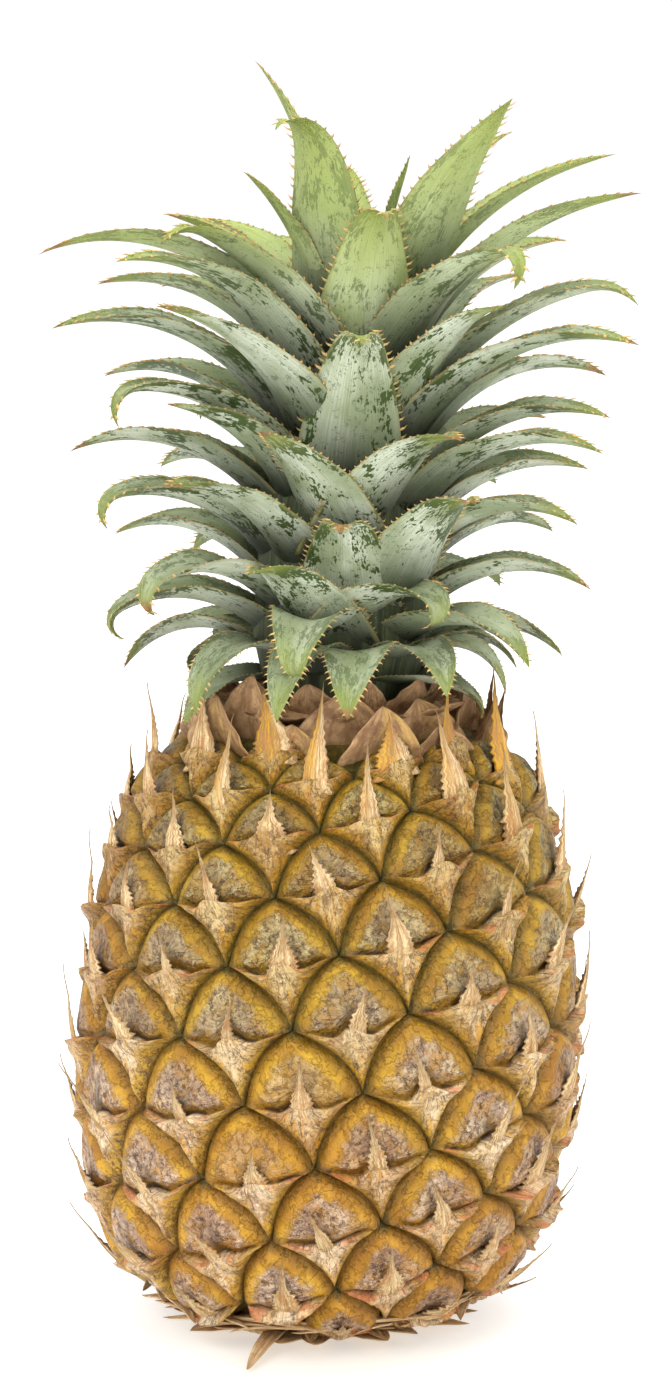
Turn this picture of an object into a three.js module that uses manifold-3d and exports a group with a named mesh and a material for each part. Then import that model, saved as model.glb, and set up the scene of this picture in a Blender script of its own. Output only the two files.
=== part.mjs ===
// A whole ripe pineapple with its crown, standing on its cut base.
// Units are millimetres. +Z points up from the base to the crown, and the front faces -Y.
// The origin is the middle of the stalk's cut face, on the surface that the pineapple stands on.
import * as THREE from "three";
import Module from "manifold-3d";

const wasm = await Module();
wasm.setup();

// Driving dimensions.
const LEAN = 0.035; // sideways shift towards +X for each millimetre of height
const GAP = 0.35; // clearance between neighbouring pieces
const GOLDEN = THREE.MathUtils.degToRad(137.508); // turn from one eye or leaf to the next one up

// Outline of the fruit without its relief, from the flat underside to the neck, as [radius, height].
const FRUIT_PROFILE = [
  [24, 3], [35, 5.6], [43, 11], [49, 20], [54, 34], [57, 54],
  [57.3, 72], [55.5, 92], [52, 110], [46, 126], [38, 137], [30, 142],
];
const BELLY_RADIUS = 57;
const BELLY_HEIGHT = 54; // below it the eyes climb by equal steps, above it they shrink with the radius
const EYE_RISE = 0.0262; // climb from eye to eye, as a share of the radius
const EYE_PHASE = THREE.MathUtils.degToRad(113.87); // azimuth of eye 0
const EYE_OFFSET = 3.415; // steps from the underside's rim to eye 0
const FIRST_EYE = 5;
const LAST_EYE = 114;
const FRONT_CROWDING = 0.15; // the eyes are narrower in front and wider behind
const ROW_TILT = 0.149; // the rows of eyes run lower on the right
const ARCH = 0.15; // how far the edge between two junctions arches up, as a share of their distance

// Heights of an eye's relief over the smooth outline.
const GROOVE = -2.6;
const BODY = 1.9; // the bract's fleshy body, the lower half of the eye
const LIP = 3.4; // the upper edge of the bract
const HOLLOW = 0.5; // the slit behind the lip
const DOME = 2.3; // the middle of the upper half
const DOME_EDGE = 1.7;
const SPIKE = 5.2; // the free point of the bract
const SPIKE_REACH = 0.6; // how far up the eye it lies
const NECK_SPIKE = 3; // how much further the points stand up round the neck

const STALK_RADIUS = 12;
const STALK_HEIGHT = 9;

const NECK_RADIUS = 25; // the disc of dried neck tissue that bears the scales
const NECK_HEIGHT = 6.5;
const NECK_BOTTOM = 142 + GAP;

const CROWN_BOTTOM = NECK_BOTTOM + NECK_HEIGHT + GAP;
const STEM_PROFILE = [
  [18, CROWN_BOTTOM], [18, 152], [21, 164], [20.5, 184], [17.5, 208], [12, 229], [5, 243],
];
const STEM_TOP = 246;
const LEAF_COUNT = 68;
const SKIRT_COUNT = 15; // short leaves bent down over the neck, under the lowest full leaf
const LEAF_PHASE = THREE.MathUtils.degToRad(292);
const LEAF_ROOTS = [151, 236]; // heights of the lowest and the highest leaf root
const ROOT_SINK = 5; // how deep in the stem a leaf starts
const CURL_START = 0.65; // share of the leaf's length before its tip bends back
const LEAVES_NEAR_NECK = 20; // the leaves low enough to dip into the neck's scales
// How the leaves change from the bottom of the crown (at 0) to its heart (at 1).
// rise and fall are the angles over the horizontal at the leaf's root and at its tip.
const LEAF_STAGES = [
  { at: 0.0, length: 44, width: 17, rise: 30, fall: -54 },
  { at: 0.13, length: 52, width: 18, rise: 52, fall: -40 },
  { at: 0.33, length: 53, width: 19, rise: 58, fall: -26 },
  { at: 0.53, length: 61, width: 19, rise: 63, fall: -16 },
  { at: 0.7, length: 74, width: 19, rise: 70, fall: -6 },
  { at: 0.78, length: 68, width: 18.5, rise: 71, fall: -4 },
  { at: 0.86, length: 56, width: 17, rise: 74, fall: 8 },
  { at: 0.95, length: 50, width: 15, rise: 78, fall: 40 },
  { at: 1.0, length: 38, width: 9, rise: 84, fall: 80 },
];
// Leaves that stand out in the crown and keep measures of their own, in degrees and millimetres.
// turn is how far a leaf points aside from the azimuth of its root, curl how far its last third bends back.
const OWN_LEAVES = {
  0: { azimuth: -15, height: 154, length: 46, width: 23, rise: 84, fall: -88, sway: 0 },
  2: { azimuth: 8, turn: 38, height: 157, length: 44, width: 27, rise: 84, fall: -48, sway: 0, curl: 30 },
  5: { azimuth: -14, turn: -22, height: 159, length: 42, width: 24, rise: 62, fall: 14, curl: 30 },
  10: { azimuth: 4, turn: -10, height: 161, length: 45, width: 24, rise: 72, fall: 44, sway: 0, curl: 90 },
  15: { azimuth: 38, turn: -6, height: 165, length: 56, width: 22, rise: 66, fall: 18, curl: 30 },
  18: { azimuth: -40, turn: -15, height: 176, length: 52, width: 20, rise: 62, fall: -2 },
  23: { azimuth: 8, turn: 32, height: 183, length: 50, width: 24, rise: 66, fall: 16, sway: 0, curl: 20 },
  26: { azimuth: -51, height: 192, length: 49, rise: 60, fall: 10 },
  28: { azimuth: 64 },
  31: { azimuth: -2, turn: -38, height: 180, length: 48, width: 24, rise: 66, fall: 28, sway: 0 },
  36: { azimuth: 44, height: 204, length: 54, width: 22, rise: 70, fall: 28, curl: 20 },
  39: { azimuth: -32, turn: -15, height: 203, length: 65, width: 22, rise: 64, fall: 12 },
  41: { azimuth: 68 },
  44: { azimuth: 0, turn: 4, height: 193, length: 57, width: 24, rise: 74, fall: 54, sway: 0, curl: 100 },
  46: { azimuth: 88, length: 70, rise: 62, fall: 0 },
  49: { azimuth: 54, turn: -12, height: 219, length: 66, width: 20, rise: 66, fall: 2 },
  52: { azimuth: -34, turn: -26, height: 221, length: 64, width: 22, rise: 66, fall: 14 },
  54: { azimuth: 76, height: 219, length: 80, rise: 68, fall: 6 },
  55: { azimuth: -70, height: 219, length: 84, rise: 68, fall: -20 },
  57: { azimuth: 10, height: 216, length: 60, width: 24, rise: 76, fall: 62, sway: 0, curl: 100 },
  59: { azimuth: 95, length: 76, rise: 72, fall: 10 },
  60: { azimuth: -84, height: 227, length: 54, rise: 68, fall: 14 },
  62: { azimuth: 80, turn: -44, height: 227, length: 78, width: 25, rise: 68, fall: 38, sway: 0 },
  64: { azimuth: 120, length: 64, rise: 74, fall: 26 },
  65: { azimuth: -50, turn: 10, height: 228, length: 67, width: 25, rise: 84, fall: 74, sway: 0, curl: 120 },
  66: { azimuth: -104, length: 68, width: 13, rise: 86, fall: 54 },
};

const { sin, cos, PI, hypot, floor, min, max } = Math;

/** A repeatable draw between -1 and 1 for item `index` of series `series`. */
function draw(index, series) {
  const value = sin(index * 12.9898 + series * 78.233) * 43758.5453;
  return 2 * (value - floor(value)) - 1;
}

/** Value at x of the broken line through the points (xs[i], ys[i]), held at both ends. */
function along(xs, ys, x) {
  if (x <= xs[0]) return ys[0];
  for (let i = 1; i < xs.length; i++) {
    if (x <= xs[i]) return ys[i - 1] + ((ys[i] - ys[i - 1]) * (x - xs[i - 1])) / (xs[i] - xs[i - 1]);
  }
  return ys[ys.length - 1];
}

/** Point at a radius, azimuth and height. Azimuth 0 is the front and grows towards +X. */
function polar(radius, azimuth, height) {
  return new THREE.Vector3(radius * sin(azimuth), -radius * cos(azimuth), height);
}

/** A body under construction: its vertices, its triangles, and names for the shared vertices. */
class Shell {
  vertices = [];
  triangles = [];
  named = new Map();

  vertex(point) {
    this.vertices.push(point);
    return this.vertices.length - 1;
  }

  /** The vertex called `name`, made by `place` the first time. */
  shared(name, place) {
    if (!this.named.has(name)) this.named.set(name, this.vertex(place()));
    return this.named.get(name);
  }

  face(...corners) {
    this.triangles.push(corners);
  }

  /** Fills the strip between a lower and an upper row, both listed from left to right. */
  strip(lower, upper) {
    let i = 0;
    let j = 0;
    while (i < lower.length - 1 || j < upper.length - 1) {
      const nextLower = lower.length > 1 ? (i + 1) / (lower.length - 1) : Infinity;
      const nextUpper = upper.length > 1 ? (j + 1) / (upper.length - 1) : Infinity;
      if (i < lower.length - 1 && nextLower <= nextUpper) {
        this.face(lower[i], lower[i + 1], upper[j]);
        i++;
      } else {
        this.face(lower[i], upper[j + 1], upper[j]);
        j++;
      }
    }
  }

  /** Fills the band between two rings of vertices that start at the same azimuth. */
  band(lower, upper) {
    this.strip([...lower, lower[0]], [...upper, upper[0]]);
  }

  solid() {
    const vertProperties = new Float32Array(this.vertices.flatMap((v) => [v.x, v.y, v.z]));
    const triVerts = new Uint32Array(this.triangles.flat());
    return new wasm.Manifold(new wasm.Mesh({ numProp: 3, vertProperties, triVerts }));
  }
}

/** The solid swept by turning a profile of [radius, height] points once round the axis. */
function turned(profile, sides) {
  const shell = new Shell();
  const rows = profile.map(([radius, height]) => {
    if (radius === 0) return [shell.vertex(polar(0, 0, height))];
    const ring = [];
    for (let i = 0; i < sides; i++) ring.push(shell.vertex(polar(radius, (2 * PI * i) / sides, height)));
    return [...ring, ring[0]];
  });
  const closed = profile[0][0] > 0;
  for (let i = 0; i + 1 < rows.length; i++) shell.strip(rows[i], rows[i + 1]);
  if (closed) shell.strip(rows[rows.length - 1], rows[0]);
  return shell.solid();
}

/** The largest connected surface of a solid, so that sealed hollows are filled and scraps are dropped. */
function mainBody(solid) {
  const { vertProperties: p, triVerts, numProp } = solid.getMesh();
  const parent = Array.from({ length: p.length / numProp }, (_, i) => i);
  const root = (i) => {
    while (parent[i] !== i) {
      parent[i] = parent[parent[i]];
      i = parent[i];
    }
    return i;
  };
  for (let t = 0; t < triVerts.length; t += 3) {
    parent[root(triVerts[t])] = root(triVerts[t + 1]);
    parent[root(triVerts[t])] = root(triVerts[t + 2]);
  }
  const groups = new Map();
  for (let t = 0; t < triVerts.length; t += 3) {
    const key = root(triVerts[t]);
    if (!groups.has(key)) groups.set(key, []);
    groups.get(key).push([triVerts[t], triVerts[t + 1], triVerts[t + 2]]);
  }
  const largest = [...groups.values()].reduce((a, b) => (b.length > a.length ? b : a));
  const shell = new Shell();
  const corner = (i) => shell.shared(i, () => new THREE.Vector3().fromArray(p, i * numProp));
  for (const triangle of largest) shell.face(...triangle.map(corner));
  return shell;
}

/** A named mesh of a shell, leaning as the whole pineapple does. */
function leaningMesh(name, shell, look) {
  const positions = shell.vertices.flatMap((v) => [v.x + LEAN * v.z, v.y, v.z]);
  const geometry = new THREE.BufferGeometry();
  geometry.setAttribute("position", new THREE.Float32BufferAttribute(positions, 3));
  geometry.setIndex(shell.triangles.flat());
  geometry.computeVertexNormals();
  const mesh = new THREE.Mesh(geometry, new THREE.MeshStandardMaterial({ ...look, metalness: 0 }));
  mesh.name = name;
  return mesh;
}

// The fruit's outline as a table: distance along it, radius, height and the count of eye steps so far.
const outline = (() => {
  const curve = new THREE.SplineCurve(FRUIT_PROFILE.map(([r, z]) => new THREE.Vector2(r, z)));
  const points = curve.getPoints(480);
  const table = { distance: [0], radius: [points[0].x], height: [points[0].y], steps: [0] };
  for (let i = 1; i < points.length; i++) {
    const length = points[i].distanceTo(points[i - 1]);
    const middle = points[i].clone().add(points[i - 1]).multiplyScalar(0.5);
    const rise = EYE_RISE * (middle.y < BELLY_HEIGHT ? BELLY_RADIUS : middle.x);
    table.distance.push(table.distance[i - 1] + length);
    table.radius.push(points[i].x);
    table.height.push(points[i].y);
    table.steps.push(table.steps[i - 1] + length / rise);
  }
  table.length = table.distance[points.length - 1];
  return table;
})();

/** Point of the fruit at an azimuth, a distance along the outline and a height over it. */
function onFruit(azimuth, distance, over) {
  const turnedBy = azimuth - FRONT_CROWDING * sin(azimuth);
  const radius = along(outline.distance, outline.radius, distance);
  const d = distance - ROW_TILT * radius * sin(turnedBy) * sin((PI * distance) / outline.length);
  const low = max(0, d - 1);
  const high = min(outline.length, d + 1);
  const dr = along(outline.distance, outline.radius, high) - along(outline.distance, outline.radius, low);
  const dz = along(outline.distance, outline.height, high) - along(outline.distance, outline.height, low);
  const r = along(outline.distance, outline.radius, d) + (over * dz) / hypot(dr, dz);
  const z = along(outline.distance, outline.height, d) - (over * dr) / hypot(dr, dz);
  return polar(r, turnedBy, z);
}

const wrapped = (angle) => angle - 2 * PI * Math.round(angle / (2 * PI));
const STEP_LEFT = wrapped(-8 * GOLDEN); // from an eye to its upper left neighbour, 8 eyes on
const STEP_RIGHT = wrapped(-13 * GOLDEN); // from an eye to its upper right neighbour, 13 eyes on
const eyeAzimuth = (n) => EYE_PHASE - GOLDEN * n;
const eyeDistance = (n) => along(outline.steps, outline.distance, n + EYE_OFFSET);

/** Meeting point of the eyes n, n + 8, n + 13 and n + 21, given as seen from the azimuth `near`. */
function junction(n) {
  const rows = [n, n + 8, n + 13, n + 21].map(eyeDistance);
  return {
    name: `junction ${n}`,
    azimuth: eyeAzimuth(n) + (STEP_LEFT + STEP_RIGHT) / 2,
    distance: rows.reduce((a, b) => a + b) / rows.length,
  };
}

/** How strong the relief is: fainter on the underside and at the neck, where the eyes are small. */
function reliefAt(distance) {
  const fromBase = THREE.MathUtils.smoothstep(distance, 0, 26);
  const fromNeck = THREE.MathUtils.smoothstep(outline.length - distance, 0, 20);
  return (0.25 + 0.75 * fromBase) * (0.6 + 0.4 * fromNeck);
}

/** One eye, a diamond between four junctions: bract below, lip across the middle, dome above. */
function addEye(shell, n) {
  const azimuth = eyeAzimuth(n);
  const distance = eyeDistance(n);
  const corners = {
    top: junction(n),
    left: junction(n - 13),
    right: junction(n - 8),
    bottom: junction(n - 21),
  };
  // u runs from the left corner (-1) to the right one (1), v from the bottom one (-1) to the top one (1).
  const place = (u, v, over) => {
    const side = u < 0 ? corners.left : corners.right;
    const end = v < 0 ? corners.bottom : corners.top;
    const toSide = { a: wrapped(side.azimuth - azimuth), d: side.distance - distance };
    const toEnd = { a: wrapped(end.azimuth - azimuth), d: end.distance - distance };
    const arch = 4 * ARCH * Math.abs(u * v) * (v < 0 ? -1 : 1);
    const a = azimuth + Math.abs(u) * toSide.a + Math.abs(v) * toEnd.a + arch * (toSide.a - toEnd.a);
    const d = distance + Math.abs(u) * toSide.d + Math.abs(v) * toEnd.d - arch * (toSide.d - toEnd.d);
    return onFruit(a, d, over * reliefAt(d));
  };
  const at = (u, v, over) => shell.vertex(place(u, v, over));
  const corner = (c, u, v) => shell.shared(c.name, () => place(u, v, GROOVE));
  const edge = (c1, c2, u, v) => {
    const name = [c1.name, c2.name].sort().join(" to ");
    return shell.shared(name, () => place(u, v, 0.7 * GROOVE));
  };
  const top = corner(corners.top, 0, 1);
  const left = corner(corners.left, -1, 0);
  const right = corner(corners.right, 1, 0);
  const bottom = corner(corners.bottom, 0, -1);
  const lowerLeft = edge(corners.left, corners.bottom, -0.5, -0.5);
  const lowerRight = edge(corners.right, corners.bottom, 0.5, -0.5);
  const upperLeft = edge(corners.left, corners.top, -0.5, 0.5);
  const upperRight = edge(corners.right, corners.top, 0.5, 0.5);

  const keel = at(0, -0.42, BODY + 0.4);
  const body = [at(-0.42, -0.3, BODY), keel, at(0.42, -0.3, BODY)];
  const lip = [
    at(-0.52, -0.01, LIP - 1),
    at(-0.13, -0.05, LIP),
    at(0.13, -0.05, LIP),
    at(0.52, -0.01, LIP - 1),
  ];
  const hollow = [at(-0.5, 0.08, HOLLOW), at(0, 0.1, HOLLOW), at(0.5, 0.08, HOLLOW)];
  const dome = [at(-0.48, 0.26, DOME_EDGE), at(0, 0.42, DOME), at(0.48, 0.26, DOME_EDGE)];
  const crest = at(0, 0.78, DOME_EDGE);
  const reach = SPIKE_REACH + 0.1 * draw(n, 1);
  const standing = NECK_SPIKE * THREE.MathUtils.smoothstep(distance, outline.length - 26, outline.length - 6);
  const spike = at(0.1 * draw(n, 2), reach, SPIKE + standing + 0.8 * draw(n, 3));

  shell.strip([bottom], [lowerLeft, ...body, lowerRight]);
  shell.strip([lowerLeft, body[0], keel], [left, lip[0], lip[1]]);
  shell.strip([keel, body[2], lowerRight], [lip[2], lip[3], right]);
  shell.face(keel, lip[2], spike);
  shell.face(lip[2], lip[1], spike);
  shell.face(lip[1], keel, spike);
  shell.face(left, lip[0], hollow[0]);
  shell.strip(lip, hollow);
  shell.face(lip[3], right, hollow[2]);
  shell.face(left, hollow[0], dome[0]);
  shell.strip(hollow, dome);
  shell.face(hollow[2], right, dome[2]);
  shell.strip([left, ...dome, right], [upperLeft, crest, upperRight]);
  shell.strip([upperLeft, crest, upperRight], [top]);
}

/** The zigzag through the junctions numbered first to last: their azimuths, and all its vertices in order. */
function zigzag(shell, first, last) {
  const corners = [];
  for (let n = first; n <= last; n++) {
    const { name, azimuth } = junction(n);
    corners.push({ name, azimuth: azimuth - 2 * PI * floor(azimuth / (2 * PI)) });
  }
  corners.sort((a, b) => a.azimuth - b.azimuth);
  const vertices = corners.flatMap(({ name }, i) => {
    const next = corners[(i + 1) % corners.length].name;
    return [shell.named.get(name), shell.named.get([name, next].sort().join(" to "))];
  });
  return { azimuths: corners.map((c) => c.azimuth), vertices };
}

/** The fruit: a spiral of eyes, a flat underside with a socket for the stalk, and a flat neck. */
function makeFruit() {
  const shell = new Shell();
  for (let n = FIRST_EYE; n <= LAST_EYE; n++) addEye(shell, n);

  const low = zigzag(shell, FIRST_EYE - 21, FIRST_EYE - 1);
  const [rimRadius, undersideHeight] = FRUIT_PROFILE[0];
  const socket = STALK_RADIUS + GAP;
  const lowRing = (radius, height) =>
    low.azimuths.map((azimuth) => shell.vertex(polar(radius, azimuth, height)));
  const rings = [
    low.azimuths.map((azimuth) => shell.vertex(onFruit(azimuth, 0, 0))),
    lowRing((rimRadius + socket) / 2, undersideHeight),
    lowRing(socket, undersideHeight),
    lowRing(socket, STALK_HEIGHT + GAP),
  ];
  const socketTop = shell.vertex(polar(0, 0, STALK_HEIGHT + GAP));
  shell.band(rings[0], low.vertices);
  for (let i = 1; i < rings.length; i++) shell.band(rings[i], rings[i - 1]);
  shell.strip([socketTop], [...rings[3], rings[3][0]]);

  const high = zigzag(shell, LAST_EYE - 20, LAST_EYE);
  const neck = high.azimuths.map((azimuth) => shell.vertex(onFruit(azimuth, outline.length, 0)));
  const neckMiddle = shell.vertex(polar(0, 0, FRUIT_PROFILE[FRUIT_PROFILE.length - 1][1]));
  shell.band(high.vertices, neck);
  shell.strip([...neck, neck[0]], [neckMiddle]);
  return shell;
}

/**
 * A leaf blade as a closed solid: a gutter with sharp, toothed margins that starts in its bearer
 * and bends from the angle `rise` to the angle `fall`, ending in a point.
 */
function blade(measures) {
  const { azimuth, turn = 0, radius, height, length, width, rise, fall, curl = 0, sway } = measures;
  const { gutter, thickness, teeth, tooth } = measures;
  const shell = new Shell();
  const count = 2 * teeth;
  const stations = [];
  for (let i = 0; i < count; i++) {
    const out = i % 2 === 1;
    stations.push({ t: (floor(i / 2) * 2 + (out ? 1.45 : i % 2)) / count, out });
  }
  const point = polar(radius, azimuth, height);
  const STEPS = 60;
  let step = 0;
  const rings = [];
  const frameAt = (t) => {
    const bentBack = curl * (max(0, t - CURL_START) / (1 - CURL_START)) ** 2;
    const angle = THREE.MathUtils.degToRad(rise + (fall - rise) * t ** 1.2 - bentBack);
    const heading = azimuth + THREE.MathUtils.degToRad(turn) + sway * t;
    const outward = polar(1, heading, 0);
    const along3 = outward.clone().multiplyScalar(cos(angle)).add(new THREE.Vector3(0, 0, sin(angle)));
    const normal = outward.clone().multiplyScalar(-sin(angle)).add(new THREE.Vector3(0, 0, cos(angle)));
    return { along3, normal, side: normal.clone().cross(along3) };
  };
  const walkTo = (t) => {
    for (; step < Math.round(t * STEPS); step++) {
      point.addScaledVector(frameAt((step + 0.5) / STEPS).along3, length / STEPS);
    }
  };
  for (const { t, out } of stations) {
    walkTo(t);
    const { normal, side } = frameAt(t);
    const shape = (1.15 - 0.33 * t + 0.35 * t * t) * (1 - t ** 2.2);
    const half = (width / 2) * shape + (out ? tooth : 0);
    const lift = gutter * shape;
    const core = (thickness / 2) * (1 - 0.4 * t);
    const corner = (s, n) => shell.vertex(point.clone().addScaledVector(side, s).addScaledVector(normal, n));
    rings.push([corner(half, lift), corner(0, core), corner(-half, lift), corner(0, -core)]);
  }
  walkTo(1);
  const tip = shell.vertex(point.clone());
  const [r0, t0, l0, b0] = rings[0];
  shell.face(r0, l0, t0);
  shell.face(r0, b0, l0);
  for (let i = 0; i + 1 < rings.length; i++) {
    const [r, t, l, b] = rings[i];
    const [r2, t2, l2, b2] = rings[i + 1];
    shell.face(r, t, t2);
    shell.face(r, t2, r2);
    shell.face(t, l, t2);
    shell.face(l, l2, t2);
    shell.face(l, b, b2);
    shell.face(l, b2, l2);
    shell.face(b, r, b2);
    shell.face(r, r2, b2);
  }
  const last = rings[rings.length - 1];
  last.forEach((vertex, i) => shell.face(vertex, last[(i + 1) % last.length], tip));
  return shell.solid();
}

/** The measures of crown leaf k, counted from the bottom of the crown. */
function crownLeaf(k) {
  const at = k / (LEAF_COUNT - 1);
  const stage = (key) => along(LEAF_STAGES.map((s) => s.at), LEAF_STAGES.map((s) => s[key]), at);
  const own = OWN_LEAVES[k] ?? {};
  const height = own.height ?? LEAF_ROOTS[0] + (LEAF_ROOTS[1] - LEAF_ROOTS[0]) * at;
  const stem = along(STEM_PROFILE.map((p) => p[1]), STEM_PROFILE.map((p) => p[0]), height);
  return {
    length: stage("length") * (1 + 0.1 * draw(k, 12)),
    width: stage("width") * (1 + 0.06 * draw(k, 13)),
    rise: stage("rise") + 4 * draw(k, 14),
    fall: stage("fall") + 10 * draw(k, 15),
    sway: 0.2 * draw(k, 16),
    gutter: 0.26 * stage("width"),
    thickness: 1.8,
    teeth: stage("length") < 58 ? 3 : 4,
    tooth: 1.3,
    ...own,
    azimuth: own.azimuth === undefined
      ? LEAF_PHASE - GOLDEN * k + 0.08 * draw(k, 11)
      : THREE.MathUtils.degToRad(own.azimuth),
    radius: max(0.5, stem - ROOT_SINK),
    height,
  };
}

/** The measures of a short leaf at the very bottom of the crown. The first ones arch over the last. */
function skirtLeaf(k) {
  const arched = k < 11;
  return {
    azimuth: LEAF_PHASE + GOLDEN * (k + 1) + 0.1 * draw(k, 41),
    radius: 18 - ROOT_SINK,
    height: LEAF_ROOTS[0] + (arched ? 3 : 1.5),
    length: (arched ? 37 : 29) * (1 + 0.18 * draw(k, 42)),
    width: 17 + 3 * draw(k, 45),
    rise: arched ? 58 : 22,
    fall: (arched ? -80 : -66) + 18 * draw(k, 43),
    sway: 0.5 * draw(k, 44),
    gutter: 2.4,
    thickness: 1.8,
    teeth: 2,
    tooth: 1.2,
  };
}

/** The crown: a short tapering stem with all its leaves grown out of it. */
function makeCrown() {
  const stem = turned([[0, CROWN_BOTTOM], ...STEM_PROFILE, [0, STEM_TOP]], 14);
  const leaves = [];
  for (let k = 0; k < LEAF_COUNT; k++) leaves.push(blade(crownLeaf(k)));
  for (let k = 0; k < SKIRT_COUNT; k++) leaves.push(blade(skirtLeaf(k)));
  return mainBody(wasm.Manifold.union([stem, ...leaves]));
}

/** The lowest leaves, fattened by the gap, as a tool that clears room for them in the neck. */
function crownClearance() {
  const lowest = [];
  for (let k = 0; k < LEAVES_NEAR_NECK; k++) lowest.push(crownLeaf(k));
  for (let k = 0; k < SKIRT_COUNT; k++) lowest.push(skirtLeaf(k));
  const fattened = lowest.flatMap((leaf) =>
    [0, 3 * GAP].map((longer) =>
      blade({
        ...leaf,
        length: leaf.length + longer,
        width: leaf.width + 5 * GAP,
        thickness: leaf.thickness + 5 * GAP,
      }),
    ),
  );
  return wasm.Manifold.union(fattened);
}

/** The dried neck under the crown: a lower row of scales lying out over the fruit, an upper row standing. */
function makeNeckScales() {
  const top = NECK_BOTTOM + NECK_HEIGHT;
  const profile = [
    [0, NECK_BOTTOM], [NECK_RADIUS, NECK_BOTTOM], [NECK_RADIUS, top - 2.5], [NECK_RADIUS - 4, top], [0, top],
  ];
  const disc = turned(profile, 20);
  const scales = [];
  for (let row = 0; row < 2; row++) {
    const count = row === 0 ? 16 : 11;
    for (let i = 0; i < count; i++) {
      const k = 40 * row + i;
      scales.push(
        blade({
          azimuth: (2 * PI * (i + 0.5 * row)) / count + 0.1 * draw(k, 21),
          radius: NECK_RADIUS - 5,
          height: NECK_BOTTOM + 2.4 + 2 * row,
          length: (15 - 3 * row) * (1 + 0.12 * draw(k, 22)),
          width: 11,
          rise: 16 + 24 * row,
          fall: 22 + 46 * row + 10 * draw(k, 23),
          sway: 0.2 * draw(k, 24),
          gutter: 1.4,
          thickness: 1.6,
          teeth: 1,
          tooth: 0.7,
        }),
      );
    }
  }
  return mainBody(wasm.Manifold.union([disc, ...scales]).subtract(crownClearance()));
}

/** A ring of dried bracts under the fruit, spread flat under its lowest eyes. */
function makeBaseBracts() {
  const inner = STALK_RADIUS + GAP;
  const top = FRUIT_PROFILE[0][1] - GAP;
  const ring = turned([[inner, 0], [25, 0], [26, 1.2], [23.4, top], [inner, top]], 24);
  const bracts = [];
  const count = 19;
  for (let i = 0; i < count; i++) {
    bracts.push(
      blade({
        azimuth: (2 * PI * i) / count + 0.1 * draw(i, 31),
        radius: 21,
        height: 1.2,
        length: 17 * (1 + 0.2 * draw(i, 32)),
        width: 9.5,
        rise: 0,
        fall: 10 + 6 * draw(i, 33),
        sway: 0.25 * draw(i, 34),
        gutter: 0.5,
        thickness: 1.4,
        teeth: 1,
        tooth: 0.7,
      }),
    );
  }
  return mainBody(wasm.Manifold.union([ring, ...bracts]));
}

/** The cut end of the stalk. */
function makeStalk() {
  const chamfer = 0.8;
  return mainBody(
    turned(
      [
        [0, 0], [STALK_RADIUS - chamfer, 0], [STALK_RADIUS, chamfer],
        [STALK_RADIUS, STALK_HEIGHT], [0, STALK_HEIGHT],
      ],
      24,
    ),
  );
}

const pineapple = new THREE.Group();
pineapple.add(
  leaningMesh("fruit", makeFruit(), { color: 0xb98327, roughness: 0.5 }),
  leaningMesh("crown", makeCrown(), { color: 0x7f9468, roughness: 0.55 }),
  leaningMesh("neck_scales", makeNeckScales(), { color: 0x8a6248, roughness: 0.8 }),
  leaningMesh("base_bracts", makeBaseBracts(), { color: 0xcfae72, roughness: 0.8 }),
  leaningMesh("stalk", makeStalk(), { color: 0xb59a6a, roughness: 0.85 }),
);

export default pineapple;
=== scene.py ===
# %% [markdown]
# # A whole pineapple with its crown
# A pineapple is a hundred small fruits grown together round a stem. Each of them shows on the
# rind as an eye: a diamond with a fleshy bract below, a slit behind the bract's lip, and a
# low dome above. The eyes stand in spirals, and so do the leaves of the crown.
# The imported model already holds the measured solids, so this script loads it as a fixed
# frame and then grows a finer surface round the same spirals, piece by piece.

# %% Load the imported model
import bmesh
import bpy
import numpy as np
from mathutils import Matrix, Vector
from types import SimpleNamespace


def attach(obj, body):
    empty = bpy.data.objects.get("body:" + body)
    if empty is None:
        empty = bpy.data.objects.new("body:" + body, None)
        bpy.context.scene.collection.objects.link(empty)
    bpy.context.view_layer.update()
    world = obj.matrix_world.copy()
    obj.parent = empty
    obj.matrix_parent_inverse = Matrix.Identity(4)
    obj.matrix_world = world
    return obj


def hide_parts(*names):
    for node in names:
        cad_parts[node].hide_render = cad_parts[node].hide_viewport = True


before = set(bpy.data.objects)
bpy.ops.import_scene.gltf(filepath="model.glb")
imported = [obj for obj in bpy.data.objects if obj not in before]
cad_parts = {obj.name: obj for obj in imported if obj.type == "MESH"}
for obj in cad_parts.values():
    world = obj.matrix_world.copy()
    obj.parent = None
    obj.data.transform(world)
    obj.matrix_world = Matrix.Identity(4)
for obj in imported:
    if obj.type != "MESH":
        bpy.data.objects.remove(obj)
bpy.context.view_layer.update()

# %% [markdown]
# ## Measures and small helpers
# The whole part leans a little to one side. Every shape is first worked out upright, in
# millimetres, and the lean and the scale are added when the mesh is made, so each formula
# stays simple. Anything irregular comes from a draw that gives the same number each time.

# %% Measures
LEAN = 0.035  # shift towards +X for each millimetre of height
GOLDEN = np.radians(137.508)  # turn from one eye or leaf to the next one up
GAP = 0.35  # air between two solids, in millimetres
STALK_RADIUS, STALK_HEIGHT = 12.0, 9.0
MM = 0.001  # one millimetre, in Blender's metres
MERGE = 1e-4  # points closer than this many millimetres become one
UP = np.array([0, 0, 1.0])


def draw(index, series):
    """A repeatable number between -1 and 1 for item `index` of series `series`: the fraction
    of a large sine, spread over the range."""
    value = np.sin(np.asarray(index) * 12.9898 + series * 78.233) * 43758.5453
    return 2 * (value - np.floor(value)) - 1


def smooth(x, low, high):
    """Rises from 0 at `low` to 1 at `high` along 3 t^2 - 2 t^3."""
    t = np.clip((x - low) / (high - low), 0, 1)
    return t * t * (3 - 2 * t)


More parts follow.
